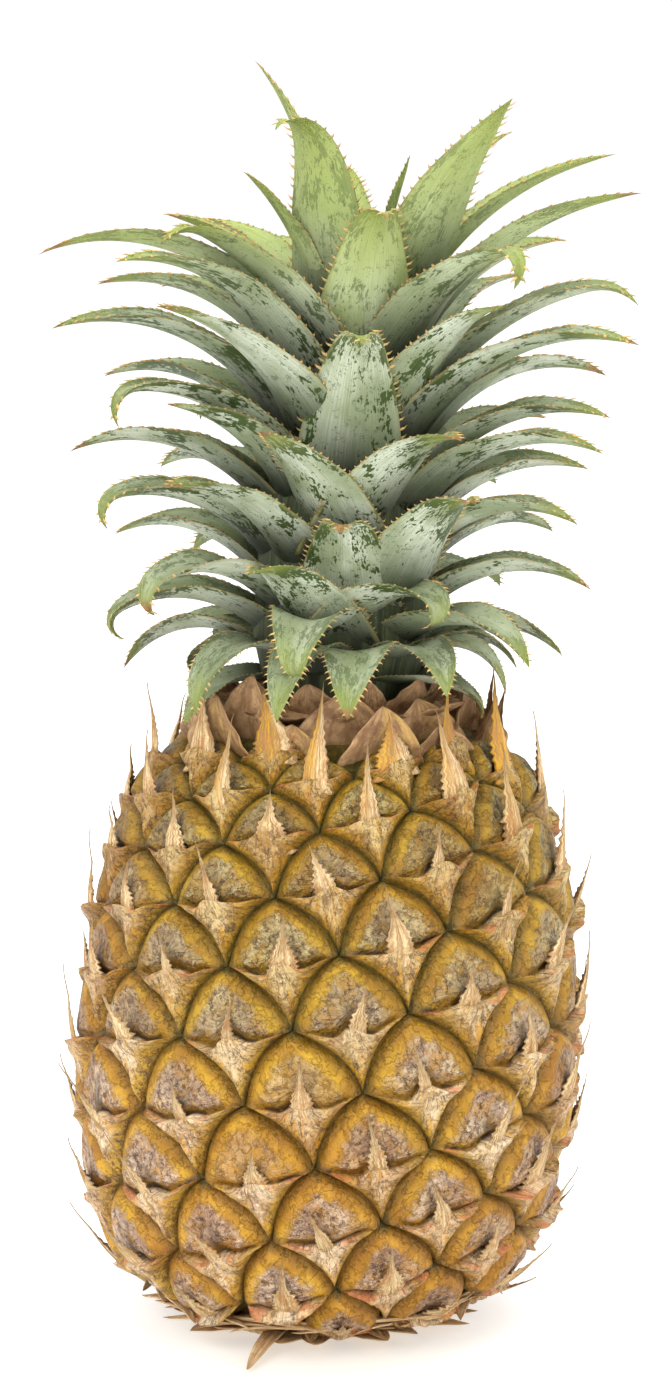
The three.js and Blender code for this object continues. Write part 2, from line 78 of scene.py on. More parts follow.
def mix(a, b, share):
    """The weighted mean of a and b: a where share is 0, b where it is 1."""
    return a + (b - a) * share


def polar(radius, azimuth, height):
    """Points at a radius, azimuth and height. Azimuth 0 is the front and grows towards +X."""
    radius, azimuth, height = np.broadcast_arrays(radius, azimuth, height)
    return np.stack([radius * np.sin(azimuth), -radius * np.cos(azimuth), height], -1)


def unit(vectors):
    """The same directions with length 1."""
    return vectors / np.maximum(np.linalg.norm(vectors, axis=-1, keepdims=True), 1e-9)


print("golden turn:", round(float(np.degrees(GOLDEN)), 3), "degrees")

# %% Meshes from arrays
def grid_faces(count, rows, columns, wrap=False):
    """Corner numbers of the four-sided faces of `count` grids, each rows x columns points,
    stored one after another. With wrap, the last column joins the first."""
    item = np.arange(count)[:, None, None] * rows * columns
    i = np.arange(rows - 1)[None, :, None] * columns
    j = np.arange(columns if wrap else columns - 1)[None, None, :]
    after = (j + 1) % columns
    corners = [item + i + j, item + i + after, item + i + columns + after, item + i + columns + j]
    return np.stack(corners, -1).reshape(-1, 4)


def make_piece(name, node, material, points, faces, uvs):
    """A finished piece: points in upright millimetres, four-sided faces as corner numbers, and
    named UV maps with one pair per face corner. The lean and the scale to metres are applied,
    then close points are merged and the faces are turned outwards."""
    points = points.reshape(-1, 3).copy()
    points[:, 0] += LEAN * points[:, 2]
    points *= MM
    mesh = bpy.data.meshes.new(name)
    mesh.vertices.add(len(points))
    mesh.vertices.foreach_set("co", points.astype(np.float32).ravel())
    mesh.loops.add(faces.size)
    mesh.loops.foreach_set("vertex_index", faces.astype(np.int32).ravel())
    mesh.polygons.add(len(faces))
    mesh.polygons.foreach_set("loop_start", np.arange(0, faces.size, 4, dtype=np.int32))
    for title, pairs in uvs.items():
        layer = mesh.uv_layers.new(name=title)
        layer.data.foreach_set("uv", pairs.astype(np.float32).ravel())
    mesh.update(calc_edges=True)
    build = bmesh.new()
    build.from_mesh(mesh)
    bmesh.ops.remove_doubles(build, verts=build.verts, dist=MERGE * MM)
    bmesh.ops.recalc_face_normals(build, faces=build.faces)
    open_edges = sum(1 for edge in build.edges if len(edge.link_faces) != 2)
    build.to_mesh(mesh)
    build.free()
    mesh.shade_smooth()
    piece = bpy.data.objects.new(name, mesh)
    bpy.context.scene.collection.objects.link(piece)
    mesh.materials.append(material)
    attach(piece, "root")
    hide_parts(node)
    triangles = sum(len(p.vertices) - 2 for p in mesh.polygons)
    print(f"{name}: {triangles} triangles, {open_edges} open edges")


# %% [markdown]
# ## Shader building blocks
# Nothing here is painted from a picture. Colour comes from noise and from each surface's own
# coordinates: across and along an eye, a bract or a leaf. Two effects are needed again and
# again, blotches and fibres, so each is a node group made once and used with other numbers.

# %% A short way to write shader nodes
def rgb(red, green, blue):
    """A screen colour, 0 to 255 each, as the linear light that the shader works in."""
    value = np.array([red, green, blue]) / 255
    linear = np.where(value <= 0.04045, value / 12.92, ((value + 0.055) / 1.055) ** 2.4)
    return tuple(float(v) for v in linear) + (1.0,)


class Graph:
    """Writes nodes into one tree. A value is a number, a colour or another node's output."""

    def __init__(self, tree):
        self.tree = tree

    def node(self, kind, values=(), **settings):
        made = self.tree.nodes.new(kind)
        for key, value in settings.items():
            setattr(made, key, value)
        for key, value in dict(values).items():
            self.feed(made.inputs[key], value)
        return made

    def feed(self, socket, value):
        if isinstance(value, bpy.types.NodeSocket):
            self.tree.links.new(value, socket)
        else:
            socket.default_value = value

    def math(self, operation, a, b=0.0):
        return self.node("ShaderNodeMath", {0: a, 1: b}, operation=operation).outputs[0]

    def times(self, a, b):
        return self.math("MULTIPLY", a, b)

    def plus(self, a, b):
        return self.math("ADD", a, b)

    def minus(self, a, b):
        return self.math("SUBTRACT", a, b)

    def step(self, value, low, high, start=0.0, end=1.0):
        """A smooth rise from `start` where value is low to `end` where it is high."""
        ports = {"Value": value, "From Min": low, "From Max": high, "To Min": start, "To Max": end}
        made = self.node("ShaderNodeMapRange", ports, interpolation_type="SMOOTHSTEP")
        return made.outputs["Result"]

    def blend(self, share, a, b, how="MIX"):
        """Colour a where share is 0, colour b where it is 1."""
        made = self.node("ShaderNodeMix", data_type="RGBA", blend_type=how, clamp_factor=True)
        for socket, value in zip((made.inputs[0], made.inputs[6], made.inputs[7]), (share, a, b)):
            self.feed(socket, value)
        return made.outputs[2]

    def over(self, colour, mask, amount, paint):
        """The colour with `paint` laid over it, as much as mask times amount says."""
        return self.blend(self.times(mask, amount), colour, paint)

    def noise(self, vector, scale, detail=3.0, rough=0.55):
        ports = {"Vector": vector, "Scale": scale, "Detail": detail, "Roughness": rough}
        return self.node("ShaderNodeTexNoise", ports).outputs["Fac"]

    def object_place(self):
        return self.node("ShaderNodeTexCoord").outputs["Object"]

    def pair(self, title):
        """The two numbers of the UV map called `title`."""
        uv = self.node("ShaderNodeUVMap", uv_map=title).outputs["UV"]
        split = self.node("ShaderNodeSeparateXYZ", {0: uv})
        return split.outputs["X"], split.outputs["Y"]

    def vector(self, x, y, z=0.0):
        return self.node("ShaderNodeCombineXYZ", {0: x, 1: y, 2: z}).outputs["Vector"]

    def group(self, tree, **values):
        """The outputs of a node group, whose inputs are given in small letters."""
        ports = {key.capitalize(): value for key, value in values.items()}
        return self.node("ShaderNodeGroup", ports, node_tree=tree).outputs


def new_group(title, inputs, outputs):
    """An empty node group with named float or vector inputs and float outputs."""
    tree = bpy.data.node_groups.new(title, "ShaderNodeTree")
    for name, kind in inputs.items():
        tree.interface.new_socket(name=name, in_out="INPUT", socket_type=kind)
    for name in outputs:
        tree.interface.new_socket(name=name, in_out="OUTPUT", socket_type="NodeSocketFloat")
    graph = Graph(tree)
    return graph, graph.node("NodeGroupInput").outputs, graph.node("NodeGroupOutput").inputs


FLOAT, VECTOR = "NodeSocketFloat", "NodeSocketVector"

# %% Group: blotches, where noise passes a threshold
def blotch_group():
    """Blotch mask: noise of the given scale, with a soft threshold. A finer noise is added, so
    that the blotch breaks up at its border."""
    inputs = {"Vector": VECTOR} | dict.fromkeys(["Scale", "Threshold", "Softness", "Breakup"], FLOAT)
    graph, given, wanted = new_group("Blotches", inputs, ["Mask"])
    coarse = graph.noise(given["Vector"], given["Scale"], 3.0)
    fine = graph.noise(given["Vector"], graph.times(given["Scale"], 5.0), 2.0)
    signed = graph.times(graph.plus(fine, -0.5), given["Breakup"])
    value = graph.plus(coarse, signed)
    high = graph.plus(given["Threshold"], given["Softness"])
    graph.feed(wanted["Mask"], graph.step(value, given["Threshold"], high))
    return graph.tree


# %% Group: fibres that run along a surface
def fibre_group():
    """Fibres: noise that is squeezed across and stretched along a surface, so that it reads as
    lines. `Across` and `Along` are the surface's own coordinates, `Count` the lines across."""
    inputs = dict.fromkeys(["Across", "Along", "Seed", "Count", "Length"], FLOAT)
    graph, given, wanted = new_group("Fibres", inputs, ["Lines"])
    across = graph.times(given["Across"], given["Count"])
    along = graph.times(given["Along"], given["Length"])
    place = graph.vector(across, along, graph.times(given["Seed"], 37.0))
    coarse = graph.noise(place, 1.0, 2.0)
    fine = graph.noise(place, 2.7, 2.0)
    graph.feed(wanted["Lines"], graph.plus(graph.times(coarse, 0.6), graph.times(fine, 0.4)))
    return graph.tree


BLOTCHES, FIBRES = blotch_group(), fibre_group()


def blotch_mask(graph, vector, **numbers):
    """Blotches at a vector, with scale, threshold, softness and breakup of the finish."""
    return graph.group(BLOTCHES, vector=vector, **numbers)["Mask"]


def fibre_lines(graph, across, along, **numbers):
    """Fibres on a surface, with seed, count and length of the finish."""
    return graph.group(FIBRES, across=across, along=along, **numbers)["Lines"]


print("node groups:", BLOTCHES.name, FIBRES.name)

# %% Start and end of a material
def new_material(title):
    """A material with its Principled shader, and the graph to write its pattern in."""
    material = bpy.data.materials.new(title)
    material.use_nodes = True
    return material, Graph(material.node_tree), material.node_tree.nodes["Principled BSDF"]


def finish_material(graph, shader, colour, roughness, height, depth, **constants):
    """Feeds the colour and roughness, adds a bump of `depth` metres, and sets plain numbers."""
    graph.feed(shader.inputs["Base Color"], colour)
    graph.feed(shader.inputs["Roughness"], roughness)
    bump = graph.node("ShaderNodeBump", {"Height": height, "Distance": depth, "Strength": 1.0})
    graph.feed(shader.inputs["Normal"], bump.outputs["Normal"])
    for key, value in constants.items():
        shader.inputs[key.replace("_", " ")].default_value = value


# %% [markdown]
# ## The fruit's outline and the spiral of eyes
# The outline is a smooth curve through twelve points. Eye number n sits one golden turn on
# from eye n - 1 and one small step up the outline, and where four eyes meet there is a
# junction. Every eye is a diamond between four junctions, so the grooves close by themselves.

# %% Outline and spiral
FRUIT_PROFILE = np.array([
    [24, 3], [35, 5.6], [43, 11], [49, 20], [54, 34], [57, 54],
    [57.3, 72], [55.5, 92], [52, 110], [46, 126], [38, 137], [30, 142],
], float)  # radius and height
SOLE_HEIGHT, NECK_HEIGHT = FRUIT_PROFILE[0, 1], FRUIT_PROFILE[-1, 1]
BELLY_RADIUS, BELLY_HEIGHT = 57.0, 54.0  # below this height the eye steps stay as long as here
EYE_RISE, EYE_OFFSET = 0.0262, 3.415  # a step's share of the radius, and the steps before eye 0
EYE_PHASE = np.radians(113.87)
FIRST_EYE, LAST_EYE = 5, 114
UP_LEFT, UP_RIGHT = 8, 13  # steps from an eye to its upper neighbours on the left and the right
ABOVE = UP_LEFT + UP_RIGHT
FRONT_CROWDING, ROW_TILT = 0.15, 0.149
ARCH = 0.15


def outline_curve(points, count):
    """A smooth curve through the points. Between two of them it is the cubic whose slope at
    each end is half the step from the point before to the point after."""
    last = len(points) - 1
    place = np.linspace(0, last, count)
    i = np.minimum(place.astype(int), last)
    t = (place - i)[:, None]
    p0, p1 = points[np.maximum(i - 1, 0)], points[i]
    p2, p3 = points[np.minimum(i + 1, last)], points[np.minimum(i + 2, last)]
    v0, v1 = (p2 - p0) / 2, (p3 - p1) / 2
    return (2 * p1 - 2 * p2 + v0 + v1) * t**3 + (3 * p2 - 3 * p1 - 2 * v0 - v1) * t**2 + v0 * t + p1


curve = outline_curve(FRUIT_PROFILE, 481)
lengths = np.linalg.norm(np.diff(curve, axis=0), axis=1)
middles = (curve[1:] + curve[:-1]) / 2
rises = EYE_RISE * np.where(middles[:, 1] < BELLY_HEIGHT, BELLY_RADIUS, middles[:, 0])
OUT_DISTANCE = np.concatenate([[0], np.cumsum(lengths)])
OUT_STEPS = np.concatenate([[0], np.cumsum(lengths / rises)])
OUT_LENGTH = OUT_DISTANCE[-1]
print("outline:", round(float(OUT_LENGTH), 1), "mm,", int(OUT_STEPS[-1]), "eye steps")

# %% Points on the fruit
def out_radius(distance):
    """The radius at a distance along the outline."""
    return np.interp(distance, OUT_DISTANCE, curve[:, 0])


def out_height(distance):
    """The height at a distance along the outline."""
    return np.interp(distance, OUT_DISTANCE, curve[:, 1])


def crowded(azimuth):
    """The azimuth eased by a sine, which crowds the eyes in front."""
    return azimuth - FRONT_CROWDING * np.sin(azimuth)


def on_fruit(azimuth, distance, over):
    """Point at an azimuth, a distance along the outline and a height over it. The eyes are
    crowded in front, and the distance is tilted from left to right by a sine of the azimuth.
    The height is added along the outline's normal."""
    turned = crowded(azimuth)
    tilt = ROW_TILT * out_radius(distance) * np.sin(turned) * np.sin(np.pi * distance / OUT_LENGTH)
    d = distance - tilt
    low, high = np.maximum(0, d - 1), np.minimum(OUT_LENGTH, d + 1)
    dr, dz = out_radius(high) - out_radius(low), out_height(high) - out_height(low)
    slope = np.hypot(dr, dz)
    return polar(out_radius(d) + over * dz / slope, turned, out_height(d) - over * dr / slope)


def relief_at(distance):
    """How strong the relief is: fainter on the underside and at the neck."""
    from_base = smooth(distance, 0, 26)
    from_neck = smooth(OUT_LENGTH - distance, 0, 20)
    return (0.25 + 0.75 * from_base) * (0.6 + 0.4 * from_neck)


def eye_azimuth(n):
    """Azimuth of eye n: one golden turn to the left with each number."""
    return EYE_PHASE - GOLDEN * n


def eye_distance(n):
    """Distance of eye n along the outline: one step on with each number."""
    return np.interp(n + EYE_OFFSET, OUT_STEPS, OUT_DISTANCE)


def wrapped(angle):
    """The same angle between minus half a turn and half a turn."""
    return angle - 2 * np.pi * np.round(angle / (2 * np.pi))


def junction(n):
    """Azimuth and distance of the meeting point of eye n, its two upper neighbours and the eye
    above: the mean of the four."""
    turn = (wrapped(-UP_LEFT * GOLDEN) + wrapped(-UP_RIGHT * GOLDEN)) / 2
    rows = [eye_distance(n + step) for step in (0, UP_LEFT, UP_RIGHT, ABOVE)]
    return eye_azimuth(n) + turn, sum(rows) / 4

def in_eye(n, u, v):
    """Azimuth and distance of the place (u, v) of eye n: u is -1 at the left junction and 1 at
    the right one, v is -1 at the bottom and 1 at the top. Between two junctions the edge bends
    up in an arch of ARCH * 4 |u v| times their distance, so that the domes are round-shouldered
    and the bracts between them narrow. Neighbours agree along their common edge."""
    azimuth, distance = eye_azimuth(n), eye_distance(n)
    offsets = []
    for share, first, second in ((u, n - UP_RIGHT, n - UP_LEFT), (v, n - ABOVE, n)):
        a0, d0 = junction(first)
        a1, d1 = junction(second)
        a = np.where(share < 0, wrapped(a0 - azimuth), wrapped(a1 - azimuth))
        d = np.where(share < 0, d0 - distance, d1 - distance)
        offsets.append((a, d))
    (side_a, side_d), (end_a, end_d) = offsets
    downwards = np.where(v < 0, -1, 1)  # from the edge's upper junction to its lower one
    arch = 4 * ARCH * np.abs(u) * np.abs(v) * downwards
    a = azimuth + np.abs(u) * side_a + np.abs(v) * end_a + arch * (side_a - end_a)
    d = distance + np.abs(u) * side_d + np.abs(v) * end_d - arch * (side_d - end_d)
    return [a, d]


print("eyes:", LAST_EYE - FIRST_EYE + 1)

# %% [markdown]
# ## The skin of the eyes
# Each eye gets a grid of its own, from its bottom corner to its top one. The relief over the
# outline is one formula of (u, v): a fleshy bract that swells from the groove to its lip, a
# slit behind the lip, and a dome with a thick rim round a slightly sunken, wrinkled middle.

# %% Relief of one eye
EYE_ROWS, EYE_COLUMNS = 16, 25  # rows in each half of the eye, points across
GROOVE = -2.2
DOME_FROM = 0.004  # v where the dome's half starts


def lip_sag(n, u):
    """How far the bract's upper edge sags below the line between the side corners. It hangs in
    two bows, one on each side of the point, as sin^2(pi u), and two waves make it uneven."""
    bows = -0.2 * np.sin(np.pi * u) ** 2 * (1 + 0.5 * draw(n, 60))
    waves = 0.045 * np.sin(4.3 * u + 6 * draw(n, 57)) + 0.025 * np.sin(12 * u + 6 * draw(n, 58))
    return -0.05 + bows + waves


def lumps(n, u, v):
    """Uneven swellings: four waves that cross the eye in directions of their own, each one
    finer and lower than the one before."""
    total = 0.0
    for k in range(4):
        turn = 3.1 * draw(n, 90 + k)
        along = u * np.cos(turn) + v * np.sin(turn)
        total = total + np.sin((4.0 + 3.2 * k) * along + 6 * draw(n, 95 + k)) / (1 + 0.6 * k)
    return total / 2


def bract_form(n, u, v, edge, own):
    """Height of the lower half. It rises from the groove and again to the lip, with ridges that
    fan out from the eye's middle, lumps, and a beak in the middle as exp(-(u / 0.3)^2)."""
    lip = (1.4 + 0.9 * draw(n, 59)) * smooth(v, -0.4, -0.02) * smooth(edge, 0, 0.3)
    fan = np.arctan2(u, 0.2 - v)
    ridges = np.sin(15 * fan + 5 * draw(n, 51) + 2.2 * np.sin(6 * fan + 9 * draw(n, 52)))
    uneven = (0.3 * ridges + 0.55 * own) * smooth(edge, 0, 0.25)
    beak = 1.2 * np.exp(-((u / 0.3) ** 2)) * smooth(v, -0.3, 0.0)
    return 0.9 + 1.3 * smooth(edge, 0.05, 0.5) + lip + uneven + beak


def dome_form(n, u, v, edge, own):
    """Height of the upper half: a thick rim, a lumpy middle that is sunk and has one crease
    from top to bottom, and the slit, which is cut deeper the nearer it is to the lip."""
    rim = 2.5 + 0.75 * draw(n, 55)
    sunk = (0.55 + 0.35 * draw(n, 56)) * smooth(edge, 0.2, 0.42)
    from_crease = (u - 0.12 * draw(n, 62) * (1 + v)) / 0.035
    crease = 0.5 * np.exp(-(from_crease**2)) * smooth(v, 0.16, 0.4) * smooth(edge, 0.1, 0.3)
    uneven = 0.75 * own * smooth(edge, 0.05, 0.4)
    depth = 1.5 + 0.7 * np.sin(5 * u + 6 * draw(n, 63))
    slit = depth * (1 - smooth(v, 0.04, 0.17)) * smooth(edge, 0, 0.3)
    return rim - sunk - crease + uneven - slit


def groove_depth(share):
    """Depth along an edge of the eye, from junction to junction: less deep by 1.2 s (1 - s)."""
    return GROOVE * (1 - 1.2 * share * (1 - share))


def eye_relief(n, u, v):
    """Height over the outline at (u, v) of eye n: the bract's form below the lip at v = 0, the
    dome's above it. Both leave the groove along a quarter circle, so that they look plump."""
    edge = 1 - np.abs(u) - np.abs(v)
    own = lumps(n, u, v)
    inner = np.where(v > DOME_FROM, dome_form(n, u, v, edge, own), bract_form(n, u, v, edge, own))
    near = np.clip(edge / (0.3 + 0.05 * own), 0, 1)
    plump = 0.65 * np.sqrt(1 - (1 - near) ** 2) + 0.35 * smooth(near, 0, 1)
    return mix(groove_depth(np.abs(v)), inner, plump)


# %% Grid of every eye, and the two end caps
EDGE_STEPS = (1 - np.cos(np.pi * np.arange(EYE_ROWS + 1) / EYE_ROWS)) / 2  # crowd at both ends
WELL_RADIUS, WELL_TOP = STALK_RADIUS + GAP, STALK_HEIGHT + GAP  # the hollow for the stalk
SOLE_RINGS = [(24, SOLE_HEIGHT), (18, SOLE_HEIGHT), (WELL_RADIUS, SOLE_HEIGHT), (WELL_RADIUS, WELL_TOP)]
NECK_RINGS = [(30, NECK_HEIGHT), (15, NECK_HEIGHT)]


def eye_coordinates():
    """(u, v) of the grid: rows crowd together at the corners and at the lip, and each row
    spans the diamond from edge to edge."""
    v = np.concatenate([EDGE_STEPS[:-1] - 1, EDGE_STEPS])[:, None]
    across = np.linspace(-1, 1, EYE_COLUMNS)[None, :]
    across = across * (1.25 - 0.25 * across**2)  # closer together towards the grooves
    return across * (1 - np.abs(v)), v + 0 * across


def zigzag(first, last):
    """Azimuth, distance and depth of the points along the edges from junction to junction, once
    round the fruit, spaced and arched as the eyes' own edges are."""
    azimuth, distance = junction(np.arange(first, last + 1))
    azimuth = azimuth % (2 * np.pi)
    order = np.argsort(azimuth)
    azimuth, distance = azimuth[order][:, None], distance[order][:, None]
    run_a = np.roll(azimuth, -1, 0) - azimuth
    run_a[-1] += 2 * np.pi
    run_d = np.roll(distance, -1, 0) - distance
    share = EDGE_STEPS[None, :-1]
    arch = 4 * ARCH * share * (1 - share) * np.where(run_d < 0, 1, -1)
    a = azimuth + share * run_a + arch * run_a
    d = distance + share * run_d - arch * run_d
    return a.ravel(), d.ravel(), (groove_depth(share) * relief_at(d)).ravel()


def end_cap(first, last, rings):
    """Rows from the zigzag of the junctions first to last through circles of (radius, height),
    to a point on the axis at the last height."""
    azimuth, distance, depth = zigzag(first, last)
    circles = rings + [(0, rings[-1][1])]
    rows = [polar(radius, crowded(azimuth), height) for radius, height in circles]
    return np.stack([on_fruit(azimuth, distance, depth)] + rows)


def fruit_skin(material):
    """The eyes' grids and both caps as one closed surface. The UV map Place holds (u, v) of the
    eye, and Eye holds a number of its own and how high it stands, each from 0 to 1."""
    u, v = (grid[None] for grid in eye_coordinates())
    n = np.arange(FIRST_EYE, LAST_EYE + 1)[:, None, None]
    edge = 1 - np.abs(u) - np.abs(v)
    azimuth, distance = in_eye(n, u, v + lip_sag(n, u) * edge)
    points = on_fruit(azimuth, distance, eye_relief(n, u, v) * relief_at(distance))
    place = np.stack(np.broadcast_arrays(u / 2 + 0.5, v / 2 + 0.5 + 0.0 * n), -1)
    high = (n - FIRST_EYE) / (LAST_EYE - FIRST_EYE)
    eye = np.stack(np.broadcast_arrays(draw(n, 61) / 2 + 0.5, high + 0.0 * u * v), -1)
    all_points, all_faces = [points.reshape(-1, 3)], [grid_faces(*points.shape[:3])]
    places, eyes = [place.reshape(-1, 2)], [eye.reshape(-1, 2)]
    sole = end_cap(FIRST_EYE - ABOVE, FIRST_EYE - 1, SOLE_RINGS)
    neck = end_cap(LAST_EYE - ABOVE + 1, LAST_EYE, NECK_RINGS)
    for cap, share in ((sole, 0.0), (neck, 1.0)):
        rows, columns = cap.shape[:2]
        start = sum(len(part) for part in all_points)
        all_faces.append(start + grid_faces(1, rows, columns, wrap=True))
        all_points.append(cap.reshape(-1, 3))
        places.append(np.tile([0.5, 0.0], (rows * columns, 1)))
        eyes.append(np.tile([0.5, share], (rows * columns, 1)))
    faces = np.concatenate(all_faces)
    uvs = {"Place": np.concatenate(places)[faces.ravel()], "Eye": np.concatenate(eyes)[faces.ravel()]}
    make_piece("fruit_skin", "fruit", material, np.concatenate(all_points), faces, uvs)


# %% [markdown]
# The rind's colours follow its anatomy. The bract is straw coloured, creamy in the middle and
# golden towards the groove, with yellow and brown streaks that fan out from the eye's middle.
# The slit is painted nearly black, as painted shade in the crevice behind the lip, and the dome
# has an amber rim round a greyish patch with dark cracks. Higher up the eyes are more olive.
# Each of these is a short function below.

# %% Values that the rind's colours share
def eye_values(g):
    """(u, v) is the place in the eye, edge is 1 - |u| - |v|, fan is the direction seen from the
    eye's middle, and upper is 1 on the dome. The rest are noises, from cloud, which is the
    widest, through medium and small to grain."""
    place = g.object_place()
    px, py = g.pair("Place")
    seed, high = g.pair("Eye")
    u, v = g.plus(g.times(px, 2.0), -1.0), g.plus(g.times(py, 2.0), -1.0)
    size_u, size_v = g.math("ABSOLUTE", u), g.math("ABSOLUTE", v)
    fan = g.math("ARCTAN2", u, g.minus(0.2, v))
    veins = g.math("ABSOLUTE", g.plus(g.noise(place, 300.0, 4.0), -0.5))
    return SimpleNamespace(
        place=place, seed=seed, high=high, u=u, v=v, size_u=size_u, size_v=size_v, fan=fan,
        edge=g.minus(g.minus(1.0, size_u), size_v),
        upper=g.step(v, DOME_FROM, 3 * DOME_FROM),
        cloud=g.noise(place, 85.0, 2.0),
        medium=g.noise(place, 150.0, 3.0),
        small=g.plus(g.noise(place, 420.0, 3.0), -0.5),
        grain=g.noise(place, 1300.0, 3.0),
        cracks=g.step(veins, 0.02, 0.004),
        specks=blotch_mask(g, place, scale=620.0, threshold=0.55, softness=0.08, breakup=0.6),
        stains=blotch_mask(g, place, scale=190.0, threshold=0.5, softness=0.14, breakup=0.7),
        fibres=fibre_lines(g, fan, v, seed=seed, count=8.0, length=3.0),
    )


# %% Colour of the bracts
def bract_colour(g, e):
    """Straw between two tones of fibre, then layer on layer: yellowish clouds, the creamy
    middle, dark fibres, gold at the groove, stains, streaks, specks and the orange lip."""
    straw = g.blend(g.step(e.fibres, 0.3, 0.66), rgb(190, 150, 92), rgb(224, 196, 152))
    straw = g.over(straw, g.step(e.cloud, 0.42, 0.62), 0.6, rgb(176, 140, 60))
    creamy = g.plus(g.plus(e.size_u, g.times(e.v, -0.6)), g.times(e.small, 0.5))
    creamy = g.times(g.step(creamy, 0.55, 0.2), g.step(e.fibres, 0.3, 0.6, 0.6, 0.95))
    straw = g.blend(creamy, straw, rgb(240, 216, 184))
    straw = g.over(straw, g.step(e.fibres, 0.33, 0.27), 0.7, rgb(96, 66, 42))
    gold_place = g.plus(e.edge, g.plus(g.times(e.medium, 0.5), g.times(e.small, 0.25)))
    straw = g.over(straw, g.step(gold_place, 0.72, 0.42), 0.85, rgb(186, 148, 38))
    straw = g.over(straw, e.stains, 0.55, rgb(146, 100, 52))
    rays = g.vector(g.times(e.fan, 6.0), g.times(e.v, 2.4), g.times(e.seed, 40.0))
    yellow = blotch_mask(g, rays, scale=0.7, threshold=0.52, softness=0.1, breakup=0.5)
    brown = blotch_mask(g, rays, scale=1.3, threshold=0.57, softness=0.08, breakup=0.8)
    straw = g.over(straw, yellow, 0.7, rgb(216, 164, 44))
    straw = g.over(straw, brown, 0.75, rgb(100, 78, 64))
    straw = g.over(straw, e.specks, 0.35, rgb(88, 60, 54))
    near_lip = g.step(g.plus(e.v, g.times(e.small, 0.05)), -0.07, -0.01)
    near_lip = g.times(near_lip, g.step(e.medium, 0.46, 0.58))
    near_lip = g.times(near_lip, g.step(e.size_u, 0.15, 0.35))
    return g.over(straw, near_lip, 0.75, rgb(206, 128, 78))


# %% Colour of the domes
def dome_colour(g, e):
    """Amber rim, darker towards the groove in its own deeper brown and in painted shade, over it
    the greyish patch in the middle of the dome, over both the slit's painted shade, nearly black.
    Also gives the patch's mask and mottle, which the bump uses."""
    rim = g.blend(g.step(e.medium, 0.35, 0.65), rgb(166, 118, 12), rgb(208, 160, 36))
    rim = g.over(rim, g.step(e.grain, 0.5, 0.7), 0.3, rgb(206, 164, 84))
    # Darker brown towards the groove: partly the rim's own colour, partly painted shade where it slopes
    # in.
    rim = g.over(rim, g.step(e.edge, 0.22, 0.06), 0.5, rgb(146, 96, 12))
    inside = g.math("MINIMUM", e.edge, g.plus(g.times(e.v, 1.2), 0.12))
    ragged = g.plus(g.times(e.medium, 0.16), g.times(e.grain, 0.12))
    patch = g.step(g.plus(g.plus(inside, g.times(e.small, 0.3)), ragged), 0.32, 0.46)
    mottle = g.plus(g.times(g.noise(e.place, 700.0, 4.0), 0.6), g.times(e.fibres, 0.4))
    grey = g.blend(g.step(mottle, 0.34, 0.64), rgb(144, 112, 96), rgb(230, 204, 176))
    grey = g.over(grey, g.step(e.cloud, 0.6, 0.42), 0.5, rgb(154, 124, 112))
    grey = g.over(grey, e.stains, 0.7, rgb(186, 134, 44))
    grey = g.over(grey, e.cracks, 0.35, rgb(92, 66, 58))
    grey = g.over(grey, e.specks, 0.8, rgb(82, 56, 50))
    dome = g.blend(g.times(patch, g.step(e.seed, 0.0, 0.25, 0.45, 0.95)), rim, grey)
    # Painted shade: the slit behind the lip is painted nearly black-brown, as the shade in that crevice.
    wide = g.step(g.plus(e.medium, g.times(e.size_u, -0.15)), 0.34, 0.52, 0.35, 0.95)
    dome = g.blend(g.times(g.step(e.v, 0.12, 0.03), wide), dome, rgb(58, 36, 20))
    return dome, patch, mottle


# %% Rind material
def rind_material():
    """Bract and dome side by side, made more olive with height and warmer in wide clouds. The grooves
    are darkened, partly in their own olive-brown and partly with painted shade, and some corners
    where four eyes meet get painted shade in their pits. The bump adds fibres, grain, cracks and
    the patch."""
    material, g, shader = new_material("Golden rind")
    e = eye_values(g)
    dome, patch, mottle = dome_colour(g, e)
    eye = g.blend(e.upper, bract_colour(g, e), dome)
    olive = g.step(g.plus(e.high, g.times(g.noise(e.place, 22.0, 2.0), 0.5)), 0.36, 1.1)
    olive_tint = g.blend(e.upper, rgb(208, 200, 152), rgb(196, 206, 140))
    eye = g.blend(g.times(olive, 0.9), eye, olive_tint, "MULTIPLY")
    warm = g.step(g.noise(e.place, 30.0, 2.0), 0.4, 0.65, 0.0, 0.65)
    eye = g.blend(warm, eye, rgb(222, 196, 160), "MULTIPLY")
    # The grooves: partly the rind's own olive-brown, partly painted shade along the recess.
    groove_colour_and_shade = g.blend(e.medium, rgb(98, 66, 12), rgb(128, 94, 24))
    groove_colour_and_shade = g.over(groove_colour_and_shade, olive, 0.7, rgb(80, 78, 22))
    groove = g.step(g.plus(e.edge, g.times(e.small, 0.14)), 0.16, 0.02)
    colour = g.over(eye, groove, 0.8, groove_colour_and_shade)
    # Painted shade in the pits of some corners where four eyes meet.
    corner = g.plus(g.math("MAXIMUM", e.size_u, e.size_v), g.times(e.small, 0.1))
    corner = g.times(g.step(corner, 0.84, 0.98), g.step(e.medium, 0.4, 0.6, 0.25, 0.8))
    colour = g.blend(corner, colour, rgb(52, 54, 18))

    height = g.plus(g.times(e.fibres, 0.8), g.times(e.grain, 0.35))
    height = g.plus(height, g.times(g.noise(e.place, 420.0, 4.0), 1.2))
    on_patch = g.times(g.times(patch, e.upper), g.times(mottle, 1.2))
    height = g.plus(height, g.plus(g.times(e.cracks, -0.5), on_patch))
    roughness = g.step(g.noise(e.place, 260.0, 2.0), 0.3, 0.7, 0.4, 0.66)
    finish_material(g, shader, colour, roughness, height, 0.0009, Specular_IOR_Level=0.4)
    return material


